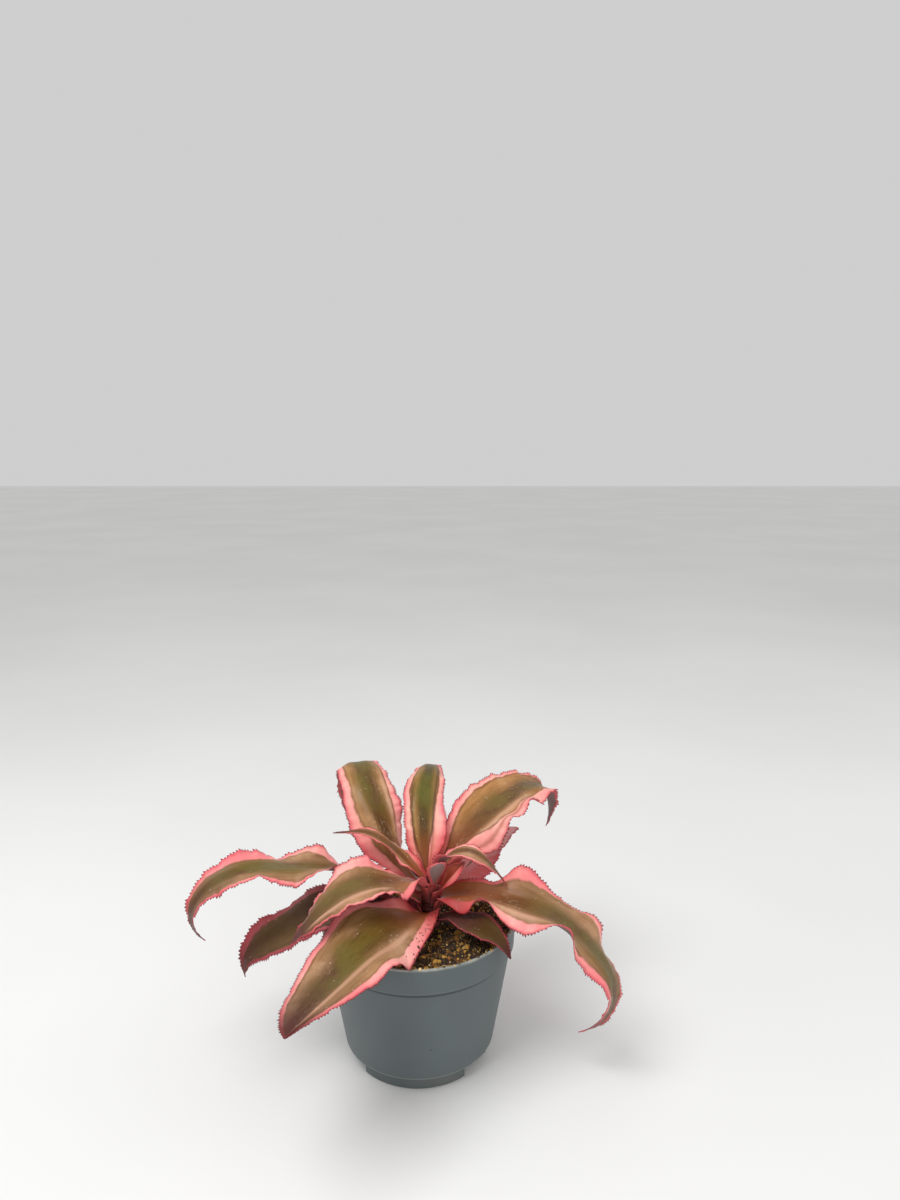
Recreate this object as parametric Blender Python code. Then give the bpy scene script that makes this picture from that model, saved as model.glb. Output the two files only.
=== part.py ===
"""Earth star bromeliad in a small plastic nursery pot.

The rosette stands on a short stem in the soil. Every leaf is a blade of its own, drawn by a
few driving dimensions: where its base sits, how long and wide it is, how it climbs and droops
along its length, and how its two margins wave. Metres, +Z up; the origin is the centre of the
pot's flat underside, and the photograph looks along +Y.
"""
import math

import bmesh
import bpy
import numpy as np

MM = 0.001

# Pot, in mm
RIM_RADIUS = 45.0
POT_HEIGHT = 66.6
RIM_BAND = 12.6
RIM_STEP = 1.3
BAND_TAPER = 0.6
FOOT_SHOULDER_Z = 7.0
FOOT_SHOULDER_RADIUS = 35.1
FOOT_RADIUS = 32.4
WALL = 1.3
FLOOR = 1.8
ROUNDING = 0.8
NOTCHES = 3
NOTCH_FIRST_AZIMUTH = -33.3
NOTCH_HALF_TURN = 16.3
NOTCH_TOP_Z = 5.0
NOTCH_RADIUS = 23.4
NOTCH_WALL_TURN = 3.2
NOTCH_SOIL_TURN = 4.6
POT_SPLIT = (6, 16)
SOIL_SPLIT = (4, 12)
SNUG = 0.15
DRAIN_WIDTH = 8.0
DRAIN_DEPTH = 4.0
DRAIN_HEIGHT = 2.4
DRAIN_Z = 3.3

# Soil and stem, in mm
GAP = 0.3
WALL_GAP = 0.4
SOIL_RIM_Z = 62.6
SOIL_STEM_Z = 61.2
SOIL_RINGS = 9
SOIL_LUMP = 0.8
STEM_X = 5.0
STEM_RADIUS = 4.0
STEM_TOP_RADIUS = 1.2
STEM_FOOT_Z = 40.0
STEM_SHOULDER_Z = 70.0
STEM_TOP_Z = 84.0
STEM_SIDES = 20

# Colours in linear light
POT_GREY = (0.094, 0.118, 0.126)
SOIL_BROWN = (0.055, 0.030, 0.014)
STEM_RED = (0.20, 0.045, 0.03)
LEAF_TAN = (0.36, 0.16, 0.10)

# Leaf blades, in mm
RIB_THICKNESS = 1.3
EDGE_THICKNESS = 0.65
TOOTH_HEIGHT = 1.0
TOOTH_START = 0.62
TOOTH_TIP = 0.8
CROSSWISE = (-1.0, -0.65, -0.3, 0.0, 0.3, 0.65, 1.0)
CROSSWISE_SMALL = (-1.0, -0.5, 0.0, 0.5, 1.0)
TIP_HALF_WIDTH = 0.45
CLASP_LENGTH = 11.0
FLAT_SHARE = 0.35
WAVE_CURVE = 1.4
FOLD_CURVE = 1.6
WAVY_HALF_WIDTH = 6.0
TOOTHED_HALF_WIDTH = 3.0

# Each leaf: azimuth of its base round the stem, reach of its base from the stem's axis, height
# of its base, length, width, and how many cross-sections draw it. pitch, turn and roll are
# degrees at even steps from base to tip: pitch climbs above level, turn swings the heading
# anticlockwise, roll banks the blade. right and left are how far each margin stands above or
# below the blade, in mm at even steps. fold lifts both margins along the whole leaf and clasp
# only round the stem. widest is where along the leaf its full width is reached, base is the
# share of that width at the stem, and taper is how late it narrows.
LEAVES = {
    "leaf_low_right": dict(
        azimuth=-43, reach=5.6, height=64.8, length=46, width=17.5, sections=12,
        pitch=(27, 19, 9, -5, -20, -60), turn=(0, 1, 1), roll=(2, 5, 4, 9),
        right=(0, 0, 1, 2, 0, 0, 0, 1, 0), left=(0, 0, 0, 0, 1, 1, 0, 0, 0),
        fold=0.12, clasp=0.3, widest=0.45, base=0.5, taper=1.6),
    "leaf_low_left": dict(
        azimuth=188, reach=6.0, height=65.2, length=96, width=25.5, sections=22,
        pitch=(24, 14, -2, -31, -35, -100), turn=(0, -2, 0, 4, 1, 1), roll=(3, 8, 12, 18),
        right=(0, 0, -1, -2, 0, -2, 3, 3, 1), left=(0, 0, -1, -3, -4, -4, -4, -3, 0),
        fold=0.12, clasp=0.4, widest=0.45, base=0.42, taper=1.8),
    "leaf_front_left": dict(
        azimuth=253, reach=5.8, height=69.0, length=104, width=38.0, sections=23,
        pitch=(24, 17, 0, -10, -8, 3), turn=(0, -17, -17, -12, -11, 8), roll=(-8, 16, -10, -2),
        right=(0, 4, -1, 0, -5, -2, -2, -1, 0), left=(0, -3, -5, -8, -1, -4, -2, 0, 0),
        fold=0.10, clasp=0.3, widest=0.45, base=0.33, taper=2.2),
    "leaf_under_right": dict(
        azimuth=52, reach=5.8, height=67.4, length=84, width=26, sections=20,
        pitch=(33, 17, 7, 5, -8, -30), turn=(0, 2, 5, 8, 14, 20), roll=(7, 8, 12, 6),
        right=(0, 3, -4, 1, 2, 1, -1, 0), left=(0, -1, 1, -2, 1, -2, 1, 0),
        fold=0.14, clasp=0.4, widest=0.45, base=0.42, taper=1.8),
    "leaf_back_left": dict(
        azimuth=136, reach=5.4, height=74.6, length=122, width=24.5, sections=23,
        pitch=(26, 43, 42, 10, -62, -92), turn=(0, -5, -17, -27, -10, 7), roll=(-14, -13, -3, 2),
        right=(0, -5, -2, 3, -2, -4, -1, 0, 0), left=(0, -3, -11, -11, -6, -5, -4, -1, 0),
        fold=0.12, clasp=0.4, widest=0.5, base=0.38, taper=2.2),
    "leaf_far_left": dict(
        azimuth=172, reach=5.8, height=71.0, length=130, width=26.0, sections=24,
        pitch=(32, 22, 12, 9, -43, -140), turn=(0, 9, 28, 38, 26, 18), roll=(-10, -16, 9, 31),
        right=(0, -2, -5, 6, -1, 3, 1, 1, 0), left=(0, 0, 1, 1, -6, 0, -2, 0, -1),
        fold=0.12, clasp=0.4, widest=0.35, base=0.42, taper=1.4),
    "leaf_back_right": dict(
        azimuth=48, reach=5.2, height=79.0, length=116, width=32.0, sections=25,
        pitch=(54, 31, 15, 3, -46, -128), turn=(0, -3, -1, -1, -1, -3), roll=(2, -1, -3, -6, -45),
        right=(0, 0, 0, -5, -9, -7, 2, -2, 4, -2, -5, -1, 0, 0, 0, 0, 0),
        left=(0, 0, 3, 4, 3, 2, 2, 2, 0),
        fold=0.12, clasp=0.3, widest=0.45, base=0.28, taper=1.6),
    "leaf_right": dict(
        azimuth=-15, reach=6.2, height=75.0, length=128, width=27.0, sections=25,
        pitch=(22, 1, -9, -35, -60, -113, -147), turn=(0, -5, -2, -4, -7, -13, -21),
        roll=(2, -2, -1, -15),
        right=(0, -7, 4, -5, -5, 6, -4, -5, -1, -1, -1, 0),
        left=(0, 2, 1, 10, 2, -1, 4, -3, 0, 1, 2, 0),
        fold=0.12, clasp=0.3, widest=0.35, base=0.45, taper=1.4),
    "leaf_back": dict(
        azimuth=104, reach=3.0, height=80.0, length=88, width=18.5, sections=20,
        pitch=(52, 57, 48, 14, -15, -35), turn=(0, -5, -16, -21, -15, -8), roll=(-16, -24, -9, -5),
        right=(0, 3, 8, 3, -3, -3, -4, 0, 0), left=(0, -5, -5, -2, -5, -5, -4, -2, 0),
        fold=0.12, clasp=0.3, widest=0.45, base=0.3, taper=2.2),
    "leaf_left": dict(
        azimuth=217, reach=5.0, height=81.5, length=74, width=29.5, sections=20,
        pitch=(38, 20, 13, -17, -39, -43), turn=(0, 4, 0, -2, -7, -15), roll=(-8, 4, 0, -2),
        right=(0, -2, 1, 3, 1, -2, -2, -1, 0), left=(0, 2, -5, 1, -1, -1, -1, -1, 0),
        fold=0.12, clasp=0.3, widest=0.4, base=0.3, taper=1.5),
    "leaf_inner_left": dict(
        azimuth=164, reach=2.6, height=82.6, length=52, width=11.0, sections=15,
        pitch=(42, 42, 36, 16, -8, -8), turn=(0, -1, -3, -2, 3, 5), roll=(0, -3, -3, -2),
        right=(0, 2, 1, -2, -2, 0, 0, -1, 0), left=(0, 0, -1, 1, 1, 0, 0, 0, 0),
        fold=0.14, clasp=0.3, widest=0.4, base=0.45, taper=1.3),
    "leaf_inner_right": dict(
        azimuth=4, reach=2.8, height=81.8, length=49, width=13.0, sections=15,
        pitch=(80, 58, 22, -26, -50, -56), turn=(0, -9, -16, -18, -13, -6), roll=(3, 5, 2, 3),
        right=(0, 2, 5, 0, -1, -2, -1, 1, 0), left=(0, 1, 0, 0, 0, -1, -2, -1, 0),
        fold=0.12, clasp=0.2, widest=0.4, base=0.26, taper=1.2),
    "leaf_heart_right": dict(
        azimuth=-29, reach=6.4, height=80.0, length=20, width=8.6, sections=9,
        pitch=(56, 54, 52, 50), turn=(0, 2, 4), roll=(-30, -45, -50),
        right=(0, 0, 0, 0, 0), left=(0, 0, 0, 0, 0),
        fold=0.2, clasp=0.2, widest=0.5, base=0.34, taper=1.6),
    "leaf_heart_front": dict(
        azimuth=-64, reach=4.8, height=83.4, length=14, width=8.6, sections=9,
        pitch=(56, 64, 70, 78), turn=(0, 2, 4), roll=(0, 4, 8),
        right=(0, 0, 0, 0, 0), left=(0, 0, 0, 0, 0),
        fold=0.2, clasp=0.2, widest=0.7, base=0.3, taper=2.6),
}


def spline(values, t):
    """Smooth curve through evenly spaced values, read at t from 0 to 1."""
    v = np.asarray(values, float)
    last = len(v) - 1
    p = np.concatenate([[2 * v[0] - v[1]], v, [2 * v[-1] - v[-2]]])
    x = np.clip(t, 0, 1) * last
    i = np.minimum(x.astype(int), last - 1)
    f = x - i
    a, b, c, d = p[i], p[i + 1], p[i + 2], p[i + 3]
    return b + 0.5 * f * (c - a + f * (2 * a - 5 * b + 4 * c - d + f * (3 * (b - c) + d - a)))


def directions(leaf, t):
    """Unit vectors at each t: along the blade, across it to its right, and up out of it."""
    pitch = np.radians(spline(leaf["pitch"], t))
    heading = np.radians(leaf["azimuth"] + spline(leaf["turn"], t))
    roll = np.radians(spline(leaf["roll"], t))[:, None]
    along = np.stack([np.cos(pitch) * np.cos(heading), np.cos(pitch) * np.sin(heading),
                      np.sin(pitch)], -1)
    level = np.stack([np.sin(heading), -np.cos(heading), 0 * heading], -1)
    above = np.cross(level, along)
    across = np.cos(roll) * level + np.sin(roll) * above
    up = np.cos(roll) * above - np.sin(roll) * level
    return along, across, up


def midrib(leaf, t, steps=200):
    """Points of the midrib: its base beside the stem, then the directions added up."""
    fine = np.linspace(0, 1, steps + 1)
    along = directions(leaf, fine)[0]
    path = np.cumsum((along[1:] + along[:-1]) / 2 * leaf["length"] / steps, 0)
    azimuth = math.radians(leaf["azimuth"])
    base = np.array([STEM_X + leaf["reach"] * math.cos(azimuth),
                     leaf["reach"] * math.sin(azimuth), leaf["height"]])
    points = np.concatenate([[np.zeros(3)], path]) + base
    return np.stack([np.interp(t, fine, points[:, k]) for k in range(3)], -1)


def half_width(leaf, t):
    """Half the blade's width: it swells from the stem to its widest, then runs to a point."""
    swell = np.sin(np.pi / 2 * np.clip(t / leaf["widest"], 0, 1)) ** 1.5
    rise = leaf["base"] + (1 - leaf["base"]) * swell
    beyond = np.clip((t - leaf["widest"]) / (1 - leaf["widest"]), 0, 1)
    return leaf["width"] / 2 * rise * (1 - beyond ** leaf["taper"]) + TIP_HALF_WIDTH


def blade_points(leaf, t, u, outward=0.0):
    """Mid-surface point and normal at matching arrays t along and u across (right is +1).

    outward moves a margin point further out, for the teeth.
    """
    along, across, up = directions(leaf, t)
    half = half_width(leaf, t)
    side = np.abs(u)
    wave = np.where(u > 0, spline(leaf["right"], t), spline(leaf["left"], t))
    wave = wave * np.minimum(1, half / WAVY_HALF_WIDTH)
    ramp = np.clip((side - FLAT_SHARE) / (1 - FLAT_SHARE), 0, 1)
    clasp = leaf["clasp"] * np.exp(-(t * leaf["length"] / CLASP_LENGTH) ** 2)
    fold = (leaf["fold"] + clasp) * half
    lift = fold * side ** FOLD_CURVE + wave * ramp ** WAVE_CURVE
    fold_slope = fold * FOLD_CURVE * side ** (FOLD_CURVE - 1)
    wave_slope = wave * WAVE_CURVE * ramp ** (WAVE_CURVE - 1) / (1 - FLAT_SHARE)
    slope = (fold_slope + wave_slope) / half * np.sign(u)
    edge = (across + up * slope[:, None]) / np.sqrt(1 + slope ** 2)[:, None]
    normal = (up - across * slope[:, None]) / np.sqrt(1 + slope ** 2)[:, None]
    point = midrib(leaf, t) + across * (half * u)[:, None] + up * lift[:, None]
    return point + edge * (np.sign(u) * outward)[:, None], normal


def blade_mesh(leaf):
    """Closed blade: a top and a bottom face with the same triangles, toothed margins, ends."""
    rows = leaf["sections"]
    columns = CROSSWISE if leaf["width"] > 15 else CROSSWISE_SMALL
    stations = np.linspace(0, 1, rows)
    last = len(columns) - 1
    spots = [(t, u, 0.0) for t in stations for u in columns]
    gap = stations[1] - stations[0]
    for side in (-1.0, 1.0):
        for t in stations[:-1]:
            spots.append((t + TOOTH_START * gap, side, 0.0))
            spots.append((t + TOOTH_TIP * gap, side, TOOTH_HEIGHT))
    t, u, outward = np.array(spots).T
    outward = outward * np.minimum(1, half_width(leaf, t) / TOOTHED_HALF_WIDTH)
    point, normal = blade_points(leaf, t, u, outward)
    half_thick = (EDGE_THICKNESS + (RIB_THICKNESS - EDGE_THICKNESS) * (1 - np.abs(u)) ** 0.8) / 2
    half_thick = half_thick[:, None]
    count = len(spots)
    verts = np.concatenate([point + normal * half_thick, point - normal * half_thick])

    def grid(i, j):
        return i * (last + 1) + j

    def notch(side, i, k):
        return rows * (last + 1) + (side * (rows - 1) + i) * 2 + k

    top = []
    rims = {0: [grid(0, 0)], 1: [grid(0, last)]}
    for i in range(rows - 1):
        for j in range(1, last - 1):
            a, b, c, d = grid(i, j), grid(i, j + 1), grid(i + 1, j + 1), grid(i + 1, j)
            top += [(a, b, c), (a, c, d)]
        for side, edge, inner in ((0, 0, 1), (1, last, last - 1)):
            low, high = grid(i, edge), grid(i + 1, edge)
            low_in, high_in = grid(i, inner), grid(i + 1, inner)
            start, tip = notch(side, i, 0), notch(side, i, 1)
            fan = [(low_in, low, start), (low_in, start, high_in), (high_in, start, high),
                   (start, tip, high)]
            top += fan if side == 1 else [face[::-1] for face in fan]
            rims[side] += [start, tip, high]
    faces = list(top)
    faces += [tuple(k + count for k in face[::-1]) for face in top]
    outline = rims[1] + [grid(rows - 1, j) for j in range(last - 1, 0, -1)] + rims[0][::-1]
    outline += [grid(0, j) for j in range(1, last)]
    for a, b in zip(outline, outline[1:] + outline[:1]):
        faces += [(a, a + count, b + count), (a, b + count, b)]
    return verts, faces


def make_object(name, verts, faces, material, sharp=40):
    """A named object from points in mm, shaded smooth where it is round."""
    mesh = bpy.data.meshes.new(name)
    mesh.from_pydata((np.asarray(verts) * MM).tolist(), [], [tuple(face) for face in faces])
    work = bmesh.new()
    work.from_mesh(mesh)
    bmesh.ops.recalc_face_normals(work, faces=work.faces)
    work.to_mesh(mesh)
    work.free()
    mesh.shade_smooth()
    mesh.set_sharp_from_angle(angle=math.radians(sharp))
    mesh.materials.append(material)
    piece = bpy.data.objects.new(name, mesh)
    bpy.context.collection.objects.link(piece)
    return piece


def azimuths(split, snug_turn=None):
    """Azimuths of a ring's columns, in degrees, notch by notch.

    split counts the steps over a notch and from there to the next notch. An even ring has them all
    alike. With snug_turn the stretches between the notches close up to them, so that the notches
    get upright sides, and every notch is that many degrees wider to each side.
    """
    over, between = split
    step = 360 / NOTCHES / (over + between)
    places = []
    for k in range(NOTCHES):
        centre = NOTCH_FIRST_AZIMUTH + 360 / NOTCHES * k
        if snug_turn is None:
            places += [centre + step * (i - over / 2) for i in range(over + between)]
            continue
        half = NOTCH_HALF_TURN + snug_turn
        free = 360 / NOTCHES - 2 * half - 2 * SNUG
        places += [centre - half + 2 * half * i / over for i in range(over + 1)]
        places += [centre + half + SNUG + free * i / (between - 2) for i in range(between - 1)]
    return places


def in_notch(split):
    """For each column of a ring, whether it belongs to a notch."""
    over, between = split
    return ([True] * (over + 1) + [False] * (between - 1)) * NOTCHES


def ring_faces(low, high):
    """Triangles between two rings of points, either of which may be a single point."""
    sides = max(len(low), len(high))
    faces = []
    for k in range(sides):
        n = (k + 1) % sides
        if len(low) == 1:
            faces.append((low[0], high[n], high[k]))
        elif len(high) == 1:
            faces.append((low[k], low[n], high[0]))
        else:
            faces += [(low[k], low[n], high[n]), (low[k], high[n], high[k])]
    return faces


def turned(name, profile, sides, material, centre=0.0):
    """A profile of (radius, height), from axis to axis, turned round the upright at x = centre."""
    verts = []
    rings = []
    for radius, height in profile:
        count = sides if radius else 1
        rings.append(list(range(len(verts), len(verts) + count)))
        for k in range(count):
            angle = 2 * math.pi * k / sides
            verts.append((centre + radius * math.cos(angle), radius * math.sin(angle), height))
    faces = []
    for low, high in zip(rings, rings[1:]):
        faces += ring_faces(low, high)
    return make_object(name, verts, faces, material)


def finish(name, colour, roughness):
    """A plain material of one colour."""
    material = bpy.data.materials.new(name)
    material.use_nodes = True
    shader = material.node_tree.nodes["Principled BSDF"]
    shader.inputs["Base Color"].default_value = (*colour, 1.0)
    shader.inputs["Roughness"].default_value = roughness
    shader.inputs["Metallic"].default_value = 0.0
    material.diffuse_color = (*colour, 1.0)
    return material


def wall_radius(height):
    """Outside radius of the pot's body under its rim band."""
    band_foot = POT_HEIGHT - RIM_BAND
    top = RIM_RADIUS - BAND_TAPER - RIM_STEP
    share = (height - FOOT_SHOULDER_Z) / (band_foot - FOOT_SHOULDER_Z)
    return FOOT_SHOULDER_RADIUS + (top - FOOT_SHOULDER_RADIUS) * share


def inner_radius(height):
    """Inside radius of the pot, one wall in from its body and carried up to the rim."""
    return wall_radius(max(height, FOOT_SHOULDER_Z)) - WALL


def make_pot():
    """The pot: rim band, tapering body, and a foot with three notches that water runs out of."""
    band_foot = POT_HEIGHT - RIM_BAND
    inner_foot = FOOT_SHOULDER_Z + ROUNDING
    middle = (FOOT_SHOULDER_Z + band_foot) / 2
    rim_in = inner_radius(POT_HEIGHT)
    ceiling = NOTCH_TOP_Z + WALL
    notch_in = NOTCH_RADIUS - WALL
    foot_in = FOOT_RADIUS - WALL
    verts = [(0, 0, 0)]
    rings = [[0]]

    def ring(point, notch_point=None, snug_turn=None):
        """One ring at (radius, height), which differs in the notches where notch_point is given."""
        rings.append(range(len(verts), len(verts) + NOTCHES * sum(POT_SPLIT)))
        for azimuth, notched in zip(azimuths(POT_SPLIT, snug_turn), in_notch(POT_SPLIT)):
            radius, height = notch_point if notched and notch_point else point
            angle = math.radians(azimuth)
            verts.append((radius * math.cos(angle), radius * math.sin(angle), height))

    ring((NOTCH_RADIUS, 0), None, 0.0)
    ring((FOOT_RADIUS - ROUNDING, 0), (NOTCH_RADIUS, NOTCH_TOP_Z), 0.0)
    ring((FOOT_RADIUS, ROUNDING), (FOOT_RADIUS, NOTCH_TOP_Z), 0.0)
    ring((FOOT_RADIUS + ROUNDING / 2, FOOT_SHOULDER_Z - ROUNDING))
    for radius, height in (
            (FOOT_SHOULDER_RADIUS, FOOT_SHOULDER_Z), (wall_radius(middle), middle),
            (wall_radius(band_foot), band_foot),
            (RIM_RADIUS - BAND_TAPER, band_foot + ROUNDING / 2),
            (RIM_RADIUS, POT_HEIGHT - ROUNDING), (RIM_RADIUS - ROUNDING / 2, POT_HEIGHT),
            (rim_in + ROUNDING / 2, POT_HEIGHT), (rim_in, POT_HEIGHT - ROUNDING / 2),
            (inner_radius(middle), middle), (inner_radius(inner_foot), inner_foot)):
        ring((radius, height))
    ring((foot_in, FOOT_SHOULDER_Z - ROUNDING / 2), None, NOTCH_WALL_TURN)
    ring((foot_in - ROUNDING / 2, FLOOR), (notch_in, ceiling), NOTCH_WALL_TURN)
    ring((notch_in, FLOOR), None, NOTCH_WALL_TURN)
    rings.append([len(verts)])
    verts.append((0, 0, FLOOR))
    faces = []
    for low, high in zip(rings, rings[1:]):
        faces += ring_faces(low, high)
    pot = make_object("pot", verts, faces, finish("pot_plastic", POT_GREY, 0.5))
    cut_drains(pot)
    return pot


def cut_drains(pot):
    """A low slot through the inner wall of each notch."""
    for k in range(NOTCHES):
        bpy.ops.mesh.primitive_cube_add(size=1)
        cutter = bpy.context.object
        cutter.name = f"drain_cutter_{k + 1}"
        cutter.dimensions = (DRAIN_DEPTH * MM, DRAIN_WIDTH * MM, DRAIN_HEIGHT * MM)
        azimuth = math.radians(NOTCH_FIRST_AZIMUTH + 360 / NOTCHES * k)
        radius = (NOTCH_RADIUS - WALL / 2) * MM
        cutter.location = (radius * math.cos(azimuth), radius * math.sin(azimuth), DRAIN_Z * MM)
        cutter.rotation_euler = (0, 0, azimuth)
        cutter.hide_render = True
        cutter.display_type = "WIRE"
        slot = pot.modifiers.new(cutter.name, "BOOLEAN")
        slot.operation = "DIFFERENCE"
        slot.object = cutter


def soil_lump(x, y, radius):
    """Low mounds on the soil, fading out at the stem's hole."""
    away = min(1.0, max(0.0, (math.hypot(x - STEM_X, y) - 6.0) / 8.0))
    near_wall = min(1.0, max(0.0, (inner_radius(SOIL_RIM_Z) - WALL_GAP - radius) / 4.0))
    ripple = math.sin(0.31 * x + 0.7) * math.cos(0.27 * y - 0.4) + 0.5 * math.sin(0.62 * (x - y))
    return SOIL_LUMP * away * (0.3 + 0.7 * near_wall) * ripple


def make_soil():
    """Soil filling the pot, with a plain hole that the stem stands in."""
    verts = []
    rings = []
    hole = STEM_RADIUS + GAP
    outer = inner_radius(SOIL_RIM_Z) - WALL_GAP
    foot = FOOT_RADIUS - WALL
    notch = (NOTCH_RADIUS - WALL - WALL_GAP, NOTCH_TOP_Z + WALL + WALL_GAP)

    def ring(point, notch_point=None, snug_turn=None, share=None):
        """One ring at (radius, height); share slides the centre of a top ring to the stem's."""
        rings.append(range(len(verts), len(verts) + NOTCHES * sum(SOIL_SPLIT)))
        for azimuth, notched in zip(azimuths(SOIL_SPLIT, snug_turn), in_notch(SOIL_SPLIT)):
            radius, height = notch_point if notched and notch_point else point
            angle = math.radians(azimuth)
            x = STEM_X * (share or 0) + radius * math.cos(angle)
            y = radius * math.sin(angle)
            rise = 0.0 if share is None else soil_lump(x, y, math.hypot(x, y))
            verts.append((x, y, height + rise))

    ring((notch[0], FLOOR + WALL_GAP), None, NOTCH_SOIL_TURN)
    ring((foot - 2.5 * WALL_GAP, FLOOR + WALL_GAP), notch, NOTCH_SOIL_TURN)
    ring((foot - 2 * WALL_GAP, FOOT_SHOULDER_Z - WALL_GAP),
         (foot - 2 * WALL_GAP, FOOT_SHOULDER_Z + WALL_GAP), NOTCH_SOIL_TURN)
    ring((inner_radius(FOOT_SHOULDER_Z) - 2 * WALL_GAP, FOOT_SHOULDER_Z + 2 * ROUNDING))
    ring((inner_radius(STEM_FOOT_Z) - WALL_GAP, STEM_FOOT_Z))
    for k in range(SOIL_RINGS):
        share = k / (SOIL_RINGS - 1)
        radius = outer + (hole - outer) * share
        ring((radius, SOIL_RIM_Z + (SOIL_STEM_Z - SOIL_RIM_Z) * share), None, None, share)
    ring((hole, STEM_FOOT_Z - GAP))
    last = len(verts) - NOTCHES * sum(SOIL_SPLIT)
    for k in range(last, len(verts)):
        x, y, height = verts[k]
        verts[k] = (x + STEM_X, y, height)
    faces = []
    for low, high in zip(rings, rings[1:]):
        faces += ring_faces(low, high)
    faces.append(tuple(rings[0])[::-1])
    faces.append(tuple(rings[-1]))
    return make_object("soil", verts, faces, finish("soil", SOIL_BROWN, 0.95))


def make_stem():
    """The short stem: straight in the soil, then narrowing to the rosette's heart."""
    profile = [(0, STEM_FOOT_Z), (STEM_RADIUS - ROUNDING, STEM_FOOT_Z),
               (STEM_RADIUS, STEM_FOOT_Z + ROUNDING), (STEM_RADIUS, STEM_SHOULDER_Z)]
    for share in (0.45, 0.75, 1.0):
        height = STEM_SHOULDER_Z + (STEM_TOP_Z - STEM_SHOULDER_Z) * share
        profile.append((STEM_RADIUS + (STEM_TOP_RADIUS - STEM_RADIUS) * share, height))
    profile.append((0, STEM_TOP_Z + ROUNDING))
    colour = finish("stem_tissue", STEM_RED, 0.6)
    return turned("stem", profile, STEM_SIDES, colour, centre=STEM_X)


def make_leaves():
    blade = finish("leaf_blade", LEAF_TAN, 0.45)
    for name, leaf in LEAVES.items():
        verts, faces = blade_mesh(leaf)
        make_object(name, verts, faces, blade, sharp=60)


def main():
    for old in list(bpy.data.objects):
        bpy.data.objects.remove(old, do_unlink=True)
    make_pot()
    make_soil()
    make_stem()
    make_leaves()


main()
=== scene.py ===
"""Looks of the earth star bromeliad: fine leaf blades with toothed, ruffled margins, crumbly soil,
the moulded pot, and a plain studio with the photograph's camera.

The leaf table and the blade's shape repeat the construction script's, so every fine blade lies
in its solid's place. Shapes are worked out in millimetres and degrees. Their meshes are in
metres, as are the camera and the studio.
"""
import math

import bmesh
import bpy
import numpy as np
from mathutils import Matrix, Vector, noise


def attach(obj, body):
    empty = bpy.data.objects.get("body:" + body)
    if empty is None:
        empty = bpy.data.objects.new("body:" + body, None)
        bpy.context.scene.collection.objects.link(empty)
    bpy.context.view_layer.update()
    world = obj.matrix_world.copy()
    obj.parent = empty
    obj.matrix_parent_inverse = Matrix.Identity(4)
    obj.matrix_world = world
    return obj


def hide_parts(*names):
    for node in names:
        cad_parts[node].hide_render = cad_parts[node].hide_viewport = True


MM = 0.001

# Camera, fitted to the pot in the photograph
LENS = 25.5
CAMERA_PLACE = (0.0145, -0.3656, 0.2803)
CAMERA_TILT = 79.86
CAMERA_REACH = 20

# Studio: name, place, size and power in watts of each light, and the sky and floor
LIGHTS = (("key", (-0.3, -0.25, 0.85), 0.5, 4.6),
          ("front", (0.6, -0.9, 0.45), 0.7, 1.6),
          ("side", (0.9, 0.2, 0.5), 0.6, 1.0))
LIT_POINT = (0, 0, 0.07)
SKY_STRENGTH = 0.62
FLOOR_REACH = 6.0
FLOOR_TONES = ((0.82, 0.82, 0.81, 1.0), (0.86, 0.86, 0.85, 1.0))

# Pot, in mm
RIM_RADIUS = 45.0
POT_HEIGHT = 66.6
RIM_BAND = 12.6
BAND_FOOT_Z = POT_HEIGHT - RIM_BAND
BAND_LIP = 0.2
RIM_STEP = 1.3
BAND_TAPER = 0.6
SHOULDER_Z = 7.0
SHOULDER_RADIUS = 35.1
SHOULDER_BULGE = 0.2
SHOULDER_RISE = 1.2
FOOT_RADIUS = 32.4
WALL = 1.3
FLOOR = 1.8
ROUNDING = 0.8
ARC_RADIUS = 0.45
ARC_STEPS = 4
ARC_LARGEST_SHARE = 0.45
BODY_LOW_Z = 14
BODY_HIGH_GAP = 4
BODY_RINGS = 6
INSIDE_RING_Z = 40
SHARP_ANGLE = 35

# Notches and drain slots in the pot's foot, in mm and degrees
NOTCHES = 3
NOTCH_FIRST_AZIMUTH = -33.3
NOTCH_HALF_TURN = 16.3
NOTCH_TOP_Z = 5.0
NOTCH_RADIUS = 23.4
NOTCH_WALL_TURN = 3.2
NOTCH_SOIL_TURN = 4.6
POT_SPLIT = (16, 44)
SOIL_SPLIT = (18, 54)
SNUG = 0.15
DRAIN_WIDTH = 8.0
DRAIN_DEPTH = 4.0
DRAIN_HEIGHT = 2.4
DRAIN_Z = 3.3

# Soil, in mm
GAP = 0.3
WALL_GAP = 0.4
SOIL_RIM_Z = 62.6
SOIL_STEM_Z = 61.2
SOIL_RINGS = 90
SOIL_LUMP = 0.8
SOIL_ROUGH = 0.9
SOIL_ROUGH_SCALE = 0.45
SMOOTH_BY_STEM = 6.0
SMOOTH_BY_STEM_FADE = 8.0
SMOOTH_BY_WALL = 4.0

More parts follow.
